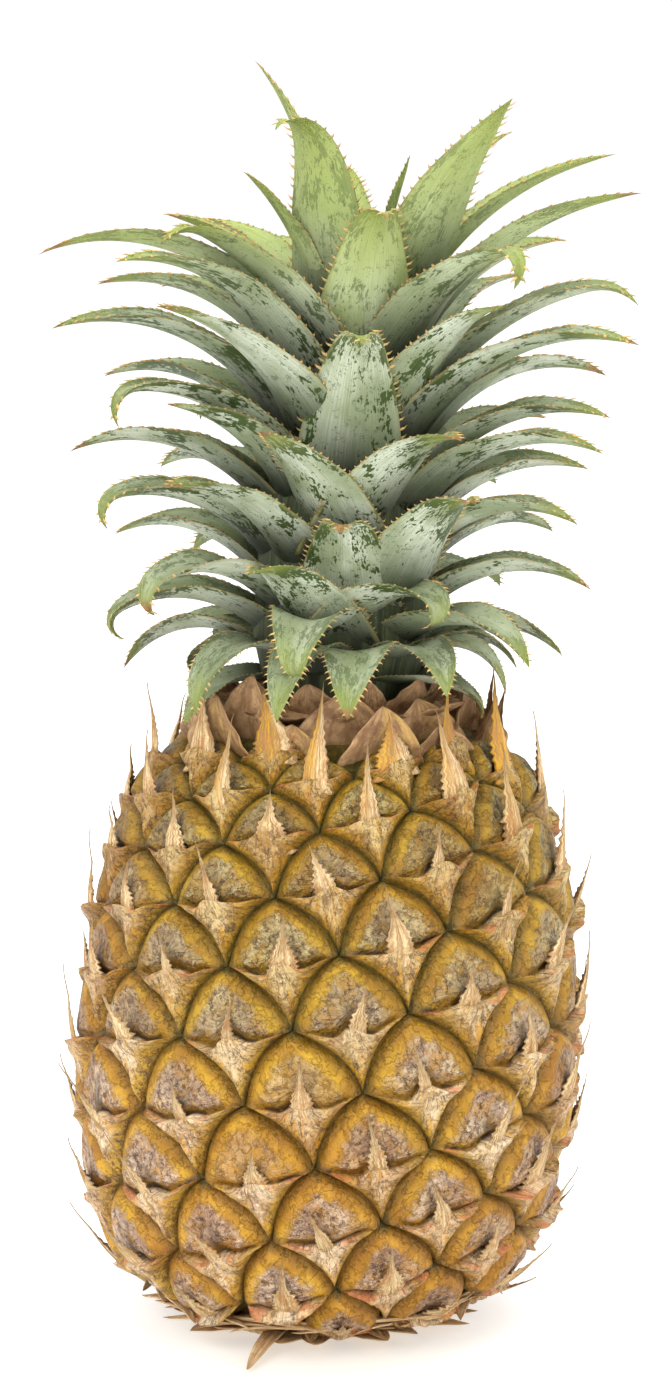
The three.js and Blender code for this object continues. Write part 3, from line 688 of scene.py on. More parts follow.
RIND = rind_material()
fruit_skin(RIND)

# %% [markdown]
# ## The papery points of the bracts
# From the middle of every lip a dry, toothed tongue lies up over the dome and ends in a hair.
# It is one strip carried along a bent path: wide at the root, narrow at the tip, with its
# margins cut into teeth. The same strip builder later makes the leaves and the scales.

# %% Strips carried along a path
def strip_rings(path, side, normal, half, thick, lift, columns):
    """Closed rings round a strip. path, side and normal are (items, stations, 3); half, thick
    and lift are (items, stations). Across the strip x runs from 1 to -1 and back underneath:
    each point is path + side * half * x + normal * (lift * |x|^1.7 +- thick * (1 - x^2))."""
    x = np.cos(np.linspace(0, 2 * np.pi, 2 * columns, endpoint=False))
    face = np.where(np.arange(2 * columns) < columns, 1.0, -1.0)
    face[[0, columns]] = 0.0
    across = x * half[..., None]
    rise = lift[..., None] * np.abs(x) ** 1.7 + face * thick[..., None] * np.sqrt(1 - x * x * 0.999)
    return (
        path[:, :, None]
        + side[:, :, None] * across[..., None]
        + normal[:, :, None] * rise[..., None]
    )


def strip_uvs(count, stations, ring, item_pair):
    """Two UV maps of closed strips. In Place, across runs from 2 to 1 on the face on the normal's
    side and from 0 to 1 back underneath, and along runs from 0 to 1. Item repeats the two
    numbers that each strip has of its own."""
    across = (np.cos(np.linspace(0, 2 * np.pi, ring, endpoint=False)) + 1) / 2
    face = np.where(np.arange(ring) < ring // 2, 1, 0)
    t = np.linspace(0, 1, stations)[:, None]
    grids = np.broadcast_arrays(across + face, np.roll(across, -1) + face, t[:-1], t[1:])
    left, right, low, high = grids
    place = np.stack([left, high, right, high, right, low, left, low], -1)
    corners = (count, stations - 1, ring, 4, 2)
    return {
        "Place": np.broadcast_to(place.reshape(corners[1:]), corners).reshape(-1, 2),
        "Item": np.broadcast_to(item_pair[:, None, None, None, :], corners).reshape(-1, 2),
    }


def strip_piece(name, node, material, rings, item_pair):
    """The piece made of closed strips: rings (items, stations, ring, 3). The first and the last
    ring are each drawn together in a point, which closes the ends."""
    count, stations, ring = rings.shape[:3]
    ends = [rings[:, :1].mean(2, keepdims=True), rings[:, -1:].mean(2, keepdims=True)]
    caps = [np.broadcast_to(end, rings[:, :1].shape) for end in ends]
    closed = np.concatenate([caps[0], rings, caps[1]], 1)
    faces = grid_faces(count, stations + 2, ring, wrap=True)[:, ::-1]
    uvs = strip_uvs(count, stations + 2, ring, item_pair)
    make_piece(name, node, material, closed, faces, uvs)


def path_frames(path, outward):
    """Side and normal along each path. The normal is the outward hint made square to the path,
    and the side is square to both."""
    tangent = unit(np.gradient(path, axis=1))
    normal = unit(outward - tangent * (outward * tangent).sum(-1, keepdims=True))
    return np.cross(normal, tangent), normal


# %% Bract points on every eye
POINT_REACH, POINT_OVER = 0.7, 4.6  # how far up the dome the tip lies, and how high over it
NECK_FROM, NECK_WHOLE, NECK_OVER = 34, 10, 9.0  # outline left to the top, and the added height
POINT_STATIONS, POINT_COLUMNS = 26, 5


def point_knots(n, at_neck):
    """The three points that bend each tongue: on the bract's body, over the lip, and the free
    tip over the dome, which stands higher on some eyes and round the neck."""
    standing = 4.0 * np.maximum(0, draw(n, 10))
    tip_over = POINT_OVER + NECK_OVER * at_neck + 1.2 * draw(n, 3) + standing
    places = [
        (0.0, -0.36, 1.7),
        (0.08 * draw(n, 4), 0.1, 6.0),
        (0.3 * draw(n, 2), POINT_REACH + 0.26 * draw(n, 1), tip_over),
    ]
    knots = []
    for u, v, over in places:
        azimuth, distance = in_eye(n, u + 0.0 * n, v + 0.0 * n)
        knots.append(on_fruit(azimuth, distance, over * relief_at(distance)))
    return knots


def point_widths(n, t, at_neck):
    """Half width of each tongue: it falls with (1 - t)^2, more slowly at the neck, swells once
    near the middle, and every second station stands out as a tooth."""
    wide = 0.2 + 4.2 * (1 - at_neck) * (1 - t) ** 2 + 6.0 * at_neck * (1 - t) ** 1.35
    wide = wide + 0.8 * np.exp(-(((t - 0.45) / 0.16) ** 2))
    station = np.arange(POINT_STATIONS)
    tooth = 0.5 * smooth(1 - t, 0.0, 0.45) * (1 + 0.9 * draw(n * 31 + station, 6)) * (station % 2)
    return (wide * smooth(1.02 - t, 0, 0.2) + tooth) * (0.9 + 0.35 * draw(n, 7))


def bract_points(material):
    """A quadratic bend from the bract's body, over the lip and the dome, to the free tip, where
    a hair curves away from the fruit. Round the neck the points are broad and stand up."""
    n = np.arange(FIRST_EYE, LAST_EYE + 1)[:, None]
    t = np.linspace(0, 1, POINT_STATIONS)[None, :]
    at_neck = smooth(eye_distance(n), OUT_LENGTH - NECK_FROM, OUT_LENGTH - NECK_WHOLE)
    weights = [(1 - t) ** 2, 2 * t * (1 - t), t**2]
    path = sum(w[..., None] * k for w, k in zip(weights, point_knots(n, at_neck)))
    azimuth, distance = in_eye(n, 0.0 * n, 0.1 + 0.0 * n)
    outward = unit(on_fruit(azimuth, distance, 1.0) - on_fruit(azimuth, distance, 0.0))
    hair = smooth(t, 0.7, 1.0)[..., None] * (1.2 + 1.2 * draw(n, 5))[..., None]
    path = path + outward * hair + UP * hair * 0.8
    path[..., 2] += 5.0 * at_neck * t**1.5 * (1 + 0.5 * draw(n, 9))
    side, normal = path_frames(path, outward)
    half = point_widths(n, t, at_neck)
    thick = 0.12 + 0.25 * (1 - t) ** 2 + 0.0 * half
    lift = (0.25 * at_neck - 0.62) * half
    rings = strip_rings(path, side, normal, half, thick, lift, POINT_COLUMNS)
    item_pair = np.concatenate([draw(n, 8) / 2 + 0.5, at_neck], 1)
    strip_piece("bract_points", "fruit", material, rings, item_pair)


# %% Papery material
def papery_material(title, pale, dark, stain, young, fibre_count=14.0):
    """Dry bract: fibres between a pale and a dark tone, stained in blotches, darker at the root
    and at the tip. The item's second number brings in the young colour, which lies on one side
    of the strip only, as where a bract dries from its margin."""
    material, g, shader = new_material(title)
    place = g.object_place()
    across, along = g.pair("Place")
    seed, youth = g.pair("Item")
    fibres = fibre_lines(g, across, along, seed=seed, count=fibre_count, length=2.5)
    blots = blotch_mask(g, place, scale=210.0, threshold=0.5, softness=0.2, breakup=0.6)
    specks = blotch_mask(g, place, scale=900.0, threshold=0.58, softness=0.08, breakup=0.6)
    chance = g.plus(seed, g.times(g.noise(place, 60.0, 2.0), 0.6))
    fresh = g.times(youth, g.step(chance, 0.3, 0.9))
    one_side = g.step(g.plus(g.math("FRACT", across), g.times(seed, 0.4)), 0.55, 0.85)
    tone = g.blend(g.times(fresh, one_side), pale, young)
    colour = g.blend(g.step(fibres, 0.36, 0.64), dark, tone)
    colour = g.over(colour, blots, 0.6, stain)
    colour = g.over(colour, specks, 0.45, dark)
    colour = g.over(colour, g.step(along, 0.25, 0.0), 0.25, dark)
    colour = g.over(colour, g.step(along, 0.72, 1.0), 0.6, dark)
    roughness = g.step(fibres, 0.3, 0.7, 0.6, 0.85)
    finish_material(g, shader, colour, roughness, fibres, 0.0006, Specular_IOR_Level=0.3)
    return material


CREAM, TAN, RUST, AMBER = rgb(226, 200, 154), rgb(148, 112, 66), rgb(170, 116, 66), rgb(206, 154, 40)
BRACT = papery_material("Dry bract", CREAM, TAN, RUST, AMBER)
bract_points(BRACT)

# %% [markdown]
# ## The crown's leaves
# Each leaf grows from the short stem at a steep angle and bends outwards. It is gutter-shaped,
# widest below the middle, and its margins carry small hooked spines. The rule below is the
# same for all leaves: angle, length and width change from the bottom of the crown to its
# heart, and a few leaves that stand in front keep measures of their own.

# %% Measures of the leaves
LEAF_COUNT, SKIRT_COUNT, ARCHED_SKIRT = 68, 15, 11
LEAF_PHASE = np.radians(292)
LEAF_ROOTS = (151.0, 236.0)  # heights of the lowest and the highest root
ROOT_SINK = 5.0
CURL_START = 0.65  # share of the length where a leaf's own curl starts
STEM_PROFILE = np.array([
    [18, 149.2], [18, 152], [21, 164], [20.5, 184], [17.5, 208], [12, 229], [5, 243],
])
LEAF_STAGES = {
    "at": [0.0, 0.13, 0.33, 0.53, 0.7, 0.78, 0.86, 0.95, 1.0],
    "length": [44, 52, 53, 61, 74, 68, 56, 50, 38],
    "width": [17, 18, 19, 19, 19, 18.5, 17, 15, 9],
    "rise": [30, 52, 58, 63, 70, 71, 74, 78, 84],
    "fall": [-54, -40, -26, -16, -6, -4, 8, 40, 80],
}
OWN_LEAVES = {
    0: dict(azimuth=-15, height=154, length=46, width=23, rise=84, fall=-88, sway=0),
    2: dict(azimuth=8, turn=38, height=157, length=44, width=27, rise=84, fall=-48, sway=0, curl=30),
    5: dict(azimuth=-14, turn=-22, height=159, length=42, width=24, rise=62, fall=14, curl=30),
    10: dict(azimuth=4, turn=-10, height=161, length=45, width=24, rise=72, fall=44, sway=0, curl=90),
    15: dict(azimuth=38, turn=-6, height=165, length=56, width=22, rise=66, fall=18, curl=30),
    18: dict(azimuth=-40, turn=-15, height=176, length=52, width=20, rise=62, fall=-2),
    23: dict(azimuth=8, turn=32, height=183, length=50, width=24, rise=66, fall=16, sway=0, curl=20),
    26: dict(azimuth=-51, height=192, length=49, rise=60, fall=10),
    28: dict(azimuth=64),
    31: dict(azimuth=-2, turn=-38, height=180, length=48, width=24, rise=66, fall=28, sway=0),
    36: dict(azimuth=44, height=204, length=54, width=22, rise=70, fall=28, curl=20),
    39: dict(azimuth=-32, turn=-15, height=203, length=65, width=22, rise=64, fall=12),
    41: dict(azimuth=68),
    44: dict(azimuth=0, turn=4, height=193, length=57, width=24, rise=74, fall=54, sway=0, curl=100),
    46: dict(azimuth=88, length=70, rise=62, fall=0),
    49: dict(azimuth=54, turn=-12, height=219, length=66, width=20, rise=66, fall=2),
    52: dict(azimuth=-34, turn=-26, height=221, length=64, width=22, rise=66, fall=14),
    54: dict(azimuth=76, height=219, length=80, rise=68, fall=6),
    55: dict(azimuth=-70, height=219, length=84, rise=68, fall=-20),
    57: dict(azimuth=10, height=216, length=60, width=24, rise=76, fall=62, sway=0, curl=100),
    59: dict(azimuth=95, length=76, rise=72, fall=10),
    60: dict(azimuth=-84, height=227, length=54, rise=68, fall=14),
    62: dict(azimuth=80, turn=-44, height=227, length=78, width=25, rise=68, fall=38, sway=0),
    64: dict(azimuth=120, length=64, rise=74, fall=26),
    65: dict(azimuth=-50, turn=10, height=228, length=67, width=25, rise=84, fall=74, sway=0, curl=120),
    66: dict(azimuth=-104, length=68, width=13, rise=86, fall=54),
}


def leaf_table():
    """All leaves as arrays: the skirt of short leaves first, then the crown from the bottom up."""
    k = np.arange(LEAF_COUNT)
    at = k / (LEAF_COUNT - 1)
    stage = {key: np.interp(at, LEAF_STAGES["at"], LEAF_STAGES[key]) for key in LEAF_STAGES}
    crown = {
        "azimuth": LEAF_PHASE - GOLDEN * k + 0.08 * draw(k, 11),
        "height": mix(LEAF_ROOTS[0], LEAF_ROOTS[1], at),
        "length": stage["length"] * (1 + 0.1 * draw(k, 12)),
        "width": stage["width"] * (1 + 0.06 * draw(k, 13)),
        "rise": stage["rise"] + 4 * draw(k, 14),
        "fall": stage["fall"] + 10 * draw(k, 15),
        "sway": 0.2 * draw(k, 16),
        "turn": 0.0 * at,
        "curl": 0.0 * at,
        "gutter": 0.26 * stage["width"],
        "share": at,
    }
    for leaf, own in OWN_LEAVES.items():
        for key, value in own.items():
            crown[key][leaf] = np.radians(value) if key in ("azimuth", "turn") else value
    stem = np.interp(crown["height"], STEM_PROFILE[:, 1], STEM_PROFILE[:, 0])
    crown["radius"] = np.maximum(0.5, stem - ROOT_SINK)
    s = np.arange(SKIRT_COUNT)
    arched = s < ARCHED_SKIRT
    skirt = {
        "azimuth": LEAF_PHASE + GOLDEN * (s + 1) + 0.1 * draw(s, 41),
        "height": LEAF_ROOTS[0] + np.where(arched, 3, 1.5),
        "length": np.where(arched, 37, 29) * (1 + 0.18 * draw(s, 42)),
        "width": 17 + 3 * draw(s, 45),
        "rise": np.where(arched, 58.0, 22.0),
        "fall": np.where(arched, -80, -66) + 18 * draw(s, 43),
        "sway": 0.5 * draw(s, 44),
        "turn": 0.0 * s,
        "curl": 0.0 * s,
        "gutter": 2.4 + 0.0 * s,
        "share": 0.0 * s,
        "radius": STEM_PROFILE[0, 0] - ROOT_SINK + 0.0 * s,
    }
    return {key: np.concatenate([skirt[key], crown[key]]) for key in crown}


LEAVES = leaf_table()
print("leaves:", len(LEAVES["length"]), "longest in mm:", round(float(LEAVES["length"].max()), 1))

# %% Leaf centre lines
def bent_path(leaf, stations, tip_curl):
    """Centre line and frame of each leaf. The angle over the horizontal goes from rise to fall
    with t^1.2, less the leaf's own curl, which grows with the square of the way past
    CURL_START, and less tip_curl over the last fifth. The heading is azimuth plus turn, and
    changes by sway. The line is the running sum of those directions."""
    t = np.linspace(0, 1, stations)[None, :]
    rise, fall, curl = (leaf[key][:, None] for key in ("rise", "fall", "curl"))

    def frame_at(t):
        bent_back = curl * (np.maximum(0, t - CURL_START) / (1 - CURL_START)) ** 2
        at_tip = tip_curl[:, None] * smooth(t, 0.8, 1.0)
        angle = np.radians(rise + (fall - rise) * t**1.2 - bent_back - at_tip)[..., None]
        outward = polar(1.0, (leaf["azimuth"] + leaf["turn"])[:, None] + leaf["sway"][:, None] * t, 0.0)
        return outward * np.cos(angle) + UP * np.sin(angle), UP * np.cos(angle) - outward * np.sin(angle)

    middle = (t[:, 1:] + t[:, :-1]) / 2
    steps = frame_at(middle)[0] * (leaf["length"] / (stations - 1))[:, None, None]
    root = polar(leaf["radius"], leaf["azimuth"], leaf["height"])[:, None]
    path = np.concatenate([root, root + np.cumsum(steps, 1)], 1)
    along, normal = frame_at(t)
    return t, path, along, np.cross(normal, along), normal


def leaf_rings(leaf, index, stations, columns, tip_curl, wave):
    """Closed rings of gutter-shaped leaves, and the direction along them. The half width follows
    (1.15 - 0.33 t + 0.35 t^2)(1 - t^2.2), the margins are lifted by the gutter, a slow wave runs
    along them, and the leaf twists by up to 14 degrees towards its tip."""
    t, path, along, side, normal = bent_path(leaf, stations, tip_curl)
    shape = (1.15 - 0.33 * t + 0.35 * t * t) * (1 - t**2.2)
    half = leaf["width"][:, None] / 2 * shape
    flutter = wave * np.sin(2 * np.pi * (3.1 * t + draw(index, 71)[:, None])) * smooth(t, 0.1, 0.6)
    lift = leaf["gutter"][:, None] * shape + flutter * (1 - t)
    thick = 0.75 * (1 - 0.75 * t) * smooth(1.001 - t, 0, 0.1) + 0.0 * half
    twist = (np.radians(14) * draw(index, 72)[:, None] * t**2)[..., None]
    turned_side = side * np.cos(twist) + normal * np.sin(twist)
    turned_normal = normal * np.cos(twist) - side * np.sin(twist)
    return strip_rings(path, turned_side, turned_normal, half, thick, lift, columns), along


# %% Spines along the margins
SPINES_PER_MARGIN, FIRST_SPINE, LAST_SPINE = 24, 0.14, 0.965
SPINE_LENGTH, FULL_SIZE_LEAF = 1.3, 62  # spines are smaller on leaves shorter than this
SPINE_STEPS = ((-0.25, -0.25, 1.0), (0.55, 0.15, 0.6), (1.0, 0.8, 0.02))  # out, ahead, thick


def margin_spines(name, material, rings, along, leaf_length):
    """Small hooks on both margins of every leaf. Each one is a four-sided cone in two steps: its
    base sits in the margin, its tip leans out and towards the leaf's tip."""
    items, stations, ring = rings.shape[:3]
    number = np.arange(items * SPINES_PER_MARGIN).reshape(items, SPINES_PER_MARGIN)
    spots = np.linspace(FIRST_SPINE, LAST_SPINE, SPINES_PER_MARGIN)[None, :] + 0.008 * draw(number, 73)
    where = spots * (stations - 1)
    low = np.minimum(where.astype(int), stations - 2)
    share = (where - low)[..., None]
    leaf = np.arange(items)[:, None]

    def at(values):
        return mix(values[leaf, low], values[leaf, low + 1], share)

    forward = unit(at(along))
    hooks = []
    for margin in (0, ring // 2):
        base = at(rings[:, :, margin])
        inside = at(rings[:, :, margin] * 0.75 + rings[:, :, ring // 2 - margin] * 0.25)
        out = unit(base - inside)
        out = unit(out - forward * (out * forward).sum(-1, keepdims=True))
        up = np.cross(forward, out)
        size = SPINE_LENGTH + 0.3 * draw(number + 7000 * margin, 74)
        size = size * (0.6 + 0.4 * smooth(spots, 0.0, 0.3))
        size = (size * np.clip(leaf_length / FULL_SIZE_LEAF, 0.55, 1.0)[:, None])[..., None]
        spokes = [forward * 0.42, up * 0.2, -forward * 0.34, -up * 0.2]
        rows = []
        for reach, ahead, thick in SPINE_STEPS:
            centre = base + out * size * reach + forward * size * ahead
            rows.append(np.stack([centre + spoke * size * thick for spoke in spokes], 2))
        hooks.append(np.stack(rows, 2).reshape(-1, len(SPINE_STEPS), len(spokes), 3))
    hooks = np.concatenate(hooks)
    item = np.arange(len(hooks))
    item_pair = np.stack([draw(item, 75) / 2 + 0.5, 0.0 * item], 1)
    strip_piece(name, "crown", material, hooks, item_pair)


# %% Leaf material
def leaf_material():
    """Grey-green leaf. A silvery bloom covers it, rubbed off here and there in streaky patches
    that show the dark green. The root is darkened with painted shade, the tip yellow-green and on
    some leaves dry."""
    material, g, shader = new_material("Leaf with silvery bloom")
    place = g.object_place()
    across, along = g.pair("Place")
    seed, high = g.pair("Item")
    inner = g.math("GREATER_THAN", across, 1.0)
    x = g.math("FRACT", across)
    from_margin = g.minus(1.0, g.times(g.math("ABSOLUTE", g.plus(x, -0.5)), 2.0))
    fibres = fibre_lines(g, x, along, seed=seed, count=60.0, length=2.0)
    fresh = g.step(g.plus(high, g.times(along, 0.15)), 0.7, 1.0)

    rub_place = g.vector(g.times(x, 7.0), g.times(along, 9.0), g.times(seed, 50.0))
    rub = blotch_mask(g, rub_place, scale=1.0, threshold=0.0, softness=1.0, breakup=0.75)
    zone = g.noise(g.vector(g.times(x, 1.3), g.times(along, 2.2), g.times(seed, 91.0)), 1.0, 1.0)
    worn = g.plus(rub, g.times(g.plus(zone, -0.5), 0.9))
    worn = g.plus(worn, g.times(g.step(along, 0.4, 0.95), 0.17))
    worn = g.plus(worn, g.times(g.step(from_margin, 0.45, 0.1), 0.07))
    covered = g.plus(g.times(inner, 0.4), g.times(fresh, 0.55))
    bare = g.times(g.step(worn, 0.665, 0.755), g.minus(1.0, covered))
    dust = blotch_mask(g, place, scale=520.0, threshold=0.6, softness=0.1, breakup=0.8)

    bloom = g.blend(g.step(fibres, 0.35, 0.65), rgb(172, 181, 155), rgb(206, 212, 191))
    soft = g.noise(g.vector(g.times(x, 2.0), g.times(along, 3.0), g.times(seed, 23.0)), 1.0, 2.0)
    bloom = g.over(bloom, g.step(soft, 0.35, 0.65), 0.85, rgb(130, 142, 104))
    bloom = g.over(bloom, inner, 0.5, rgb(128, 140, 92))
    bloom = g.over(bloom, fresh, g.step(along, 0.2, 0.75, 0.3, 0.85), rgb(158, 172, 92))
    green = g.blend(g.step(fibres, 0.3, 0.7), rgb(54, 70, 30), rgb(76, 94, 42))
    colour = g.blend(bare, bloom, green)
    colour = g.over(colour, dust, 0.5, rgb(76, 84, 54))
    # Painted shade: towards its root, deep in the crown, each leaf darkens to near black-green.
    root = g.plus(g.plus(along, g.times(soft, 0.2)), g.times(from_margin, -0.1))
    colour = g.over(colour, g.step(root, 0.58, 0.16), 0.97, rgb(28, 34, 18))
    edge_line = g.step(g.plus(from_margin, g.times(soft, 0.08)), 0.13, 0.04)
    colour = g.over(colour, edge_line, 0.5, rgb(150, 142, 84))
    tip = g.step(g.plus(along, g.times(soft, 0.2)), 0.82, 1.08)
    colour = g.over(colour, tip, 0.8, rgb(150, 162, 72))
    dry_from = g.step(seed, 0.0, 1.0, 1.02, 0.9)
    dried = g.minus(g.plus(along, g.times(g.noise(place, 200.0, 2.0), 0.06)), dry_from)
    dry_colour = g.blend(g.noise(place, 500.0, 2.0), rgb(108, 76, 48), rgb(206, 150, 92))
    colour = g.over(colour, g.step(dried, 0.0, 0.04), 0.9, dry_colour)

    height = g.plus(fibres, g.times(bare, -0.3))
    roughness = g.minus(0.66, g.times(bare, 0.2))
    finish_material(g, shader, colour, roughness, height, 0.0004, Specular_IOR_Level=0.35)
    return material


def spine_material():
    """Spines run from straw at the leaf to an orange-brown point."""
    material, g, shader = new_material("Leaf spine")
    along, seed = g.pair("Place")[1], g.pair("Item")[0]
    base = g.blend(g.step(seed, 0.2, 0.8), rgb(160, 152, 88), rgb(204, 172, 108))
    colour = g.blend(g.step(along, 0.35, 0.85), base, rgb(182, 108, 66))
    height = g.noise(g.object_place(), 1800.0, 2.0)
    finish_material(g, shader, colour, 0.5, height, 0.0002, Specular_IOR_Level=0.4)
    return material


LEAF, SPINE = leaf_material(), spine_material()
print("leaf materials:", LEAF.name, SPINE.name)

# %% Build the crown
LEAF_STATIONS, LEAF_COLUMNS, LEAF_WAVE = 44, 12, 0.5
CROWN_PARTS = {"low": (0, 42), "high": (42, SKIRT_COUNT + LEAF_COUNT)}
FULL_CURL, HEART = 150, 0.8  # degrees, and the share of the crown where no leaf curls so far


def crown_leaves():
    """The leaves in two pieces and their spines in two more. Below the heart some leaves, by
    chance, roll back at the tip."""
    for part, (first, last) in CROWN_PARTS.items():
        leaf = {key: values[first:last] for key, values in LEAVES.items()}
        index = np.arange(first, last)
        chance = draw(index, 76)
        rolled = FULL_CURL * np.maximum(0, chance - 0.2)
        tip_curl = np.where(leaf["share"] < HEART, rolled, 8 * chance)
        rings, along = leaf_rings(leaf, index, LEAF_STATIONS, LEAF_COLUMNS, tip_curl, LEAF_WAVE)
        item_pair = np.stack([draw(index, 77) / 2 + 0.5, leaf["share"]], 1)
        strip_piece("leaves_" + part, "crown", LEAF, rings, item_pair)
        margin_spines("spines_" + part, SPINE, rings, along, leaf["length"])


def turned_rings(profile, sides, ripple=0.0):
    """A turned body as one closed strip: a circle for each (radius, height), with a ripple of
    the given share of the radius round it."""
    azimuth = np.linspace(0, 2 * np.pi, sides, endpoint=False)[None, :]
    radius, height = profile[:, :1], profile[:, 1:]
    wave = 1 + ripple * np.sin(7 * azimuth + 6 * draw(np.arange(len(profile)), 82)[:, None])
    return polar(radius * wave, azimuth, height)[None]


def turned_piece(name, node, material, profile, sides, tone, ripple=0.0):
    """A turned body as a piece. tone, from 0 to 1, is the item's own number for its material."""
    rings = turned_rings(np.array(profile, float), sides, ripple)
    strip_piece(name, node, material, rings, np.array([[tone, 0.0]]))


crown_leaves()
# Painted shade: the stem is very dark green, so that the gaps between the leaf bases read as shade.
STEM_PAINTED_SHADE = papery_material("Leaf bases in painted shade", rgb(84, 92, 62), rgb(44, 50, 32), rgb(62, 70, 40), TAN, 60.0)
stem_rows = [[0.2, STEM_PROFILE[0, 1]], *STEM_PROFILE, [0.4, 246]]
turned_piece("crown_stem", "crown", STEM_PAINTED_SHADE, stem_rows, 48, tone=0.1)

# %% [markdown]
# ## Dried scales at the neck, bracts under the base, and the stalk
# Between fruit and crown sits a collar of small dead leaves, brown and curled. Others, straw
# coloured and flat, lie under the fruit, round the cut end of the stalk, some of them across.
# All are the same strips as the leaves, only short, thin and stained, and they stand in rows.

# %% Rows of scales
SCALE_STATIONS, SCALE_COLUMNS = 16, 7


def scale_rows(rows, series):
    """Rows of scales as arrays, with one number for each scale. A row gives the count, the
    azimuth where it starts, and mean measures with how much they vary. It can turn its scales
    to one side, in degrees, and give them a share of the young colour."""
    tables = []
    for number, row in enumerate(rows):
        i = np.arange(row["count"])
        k = 40 * number + i
        even = row.get("start", 0.0) + 2 * np.pi * (i + 0.5 * number) / row["count"]
        tables.append({
            "azimuth": even + 0.1 * draw(k, series),
            "radius": row["radius"] + 0.0 * i,
            "height": row["height"] + 0.0 * i,
            "length": row["length"] * (1 + row["vary"] * draw(k, series + 1)),
            "width": row["width"] * (1 + 0.15 * draw(k, series + 5)),
            "rise": row["rise"] + 0.0 * i,
            "fall": row["fall"] + row["spread"] * draw(k, series + 2),
            "sway": 0.22 * draw(k, series + 3),
            "turn": np.radians(row.get("turn", 0.0)) + 0.0 * i,
            "curl": 0.0 * i,
            "gutter": row["gutter"] + 0.0 * i,
            "share": row.get("young", 0.0) + 0.0 * i,
        })
    return {key: np.concatenate([table[key] for table in tables]) for key in tables[0]}


def scales(name, node, material, rows, series, wave):
    """One piece of dried scales, each a short leaf with a waved margin and a curled tip."""
    table = scale_rows(rows, series)
    index = np.arange(len(table["length"])) + 500 * (series // 10)
    tip_curl = 18 * draw(index, 78)
    rings = leaf_rings(table, index, SCALE_STATIONS, SCALE_COLUMNS, tip_curl, wave)[0]
    item_pair = np.stack([draw(index, 79) / 2 + 0.5, table["share"]], 1)
    strip_piece(name, node, material, rings, item_pair)


# %% Neck scales and collar
NECK_BOTTOM, NECK_TOP = NECK_HEIGHT + GAP, STEM_PROFILE[0, 1] - GAP
SCALE = papery_material(
    "Dry neck scale", rgb(188, 152, 110), rgb(142, 108, 74), rgb(112, 76, 54), rgb(196, 158, 84), 6.0
)
NECK_ROWS = [
    {"count": 16, "radius": 20, "height": NECK_BOTTOM + 2.4, "length": 15, "vary": 0.12, "width": 11,
     "rise": 16, "fall": 22, "spread": 10, "gutter": 1.4},
    {"count": 11, "radius": 20, "height": NECK_BOTTOM + 4.4, "length": 12, "vary": 0.12, "width": 11,
     "rise": 40, "fall": 68, "spread": 10, "gutter": 1.4},
    {"count": 9, "radius": 26, "height": NECK_BOTTOM - 2, "length": 15, "vary": 0.3, "width": 24,
     "rise": 62, "fall": 98, "spread": 14, "gutter": -3.0, "young": 0.4},
    {"count": 11, "radius": 30, "height": NECK_BOTTOM - 5, "length": 14, "vary": 0.35, "width": 21,
     "rise": 48, "fall": 88, "spread": 16, "gutter": -2.6, "young": 0.8},
]
scales("neck_scale_leaves", "neck_scales", SCALE, NECK_ROWS, series=21, wave=0.8)
neck_profile = [
    [0.2, NECK_BOTTOM], [25, NECK_BOTTOM], [25.4, 144], [25, 146.3], [21, NECK_TOP], [0.2, NECK_TOP],
]
turned_piece("neck_collar", "neck_scales", SCALE, neck_profile, 96, tone=0.3, ripple=0.006)

# %% Base bracts
BASE = papery_material(
    "Straw base bract", rgb(236, 212, 168), rgb(172, 128, 80), rgb(202, 146, 88), rgb(190, 112, 48), 12.0
)
BASE_ROWS = [
    {"count": 19, "radius": 21, "height": 1.2, "length": 17, "vary": 0.2, "width": 9.5,
     "rise": 0, "fall": 10, "spread": 6, "gutter": 0.5},
    {"count": 31, "radius": 24, "height": 2.6, "length": 13, "vary": 0.4, "width": 4.5,
     "rise": 8, "fall": 4, "spread": 16, "gutter": 0.4},
    {"count": 34, "radius": 33, "height": 5.0, "length": 10, "vary": 0.4, "width": 5.0,
     "rise": 30, "fall": 38, "spread": 24, "gutter": 0.5},
    {"count": 19, "radius": 38, "height": 7.6, "length": 19, "vary": 0.4, "width": 3.4, "turn": 84,
     "rise": 4, "fall": -4, "spread": 14, "gutter": 0.4},
    {"count": 23, "radius": 36, "height": 6.0, "length": 17, "vary": 0.4, "width": 4.0, "turn": -80,
     "rise": 4, "fall": -6, "spread": 14, "gutter": 0.4},
    {"count": 1, "start": -3.45, "radius": 24, "height": 2.6, "length": 31, "vary": 0.1, "width": 4.5,
     "rise": -2, "fall": -5, "spread": 1, "gutter": 0.8, "young": 1.0},
]
scales("base_bract_leaves", "base_bracts", BASE, BASE_ROWS, series=31, wave=0.15)

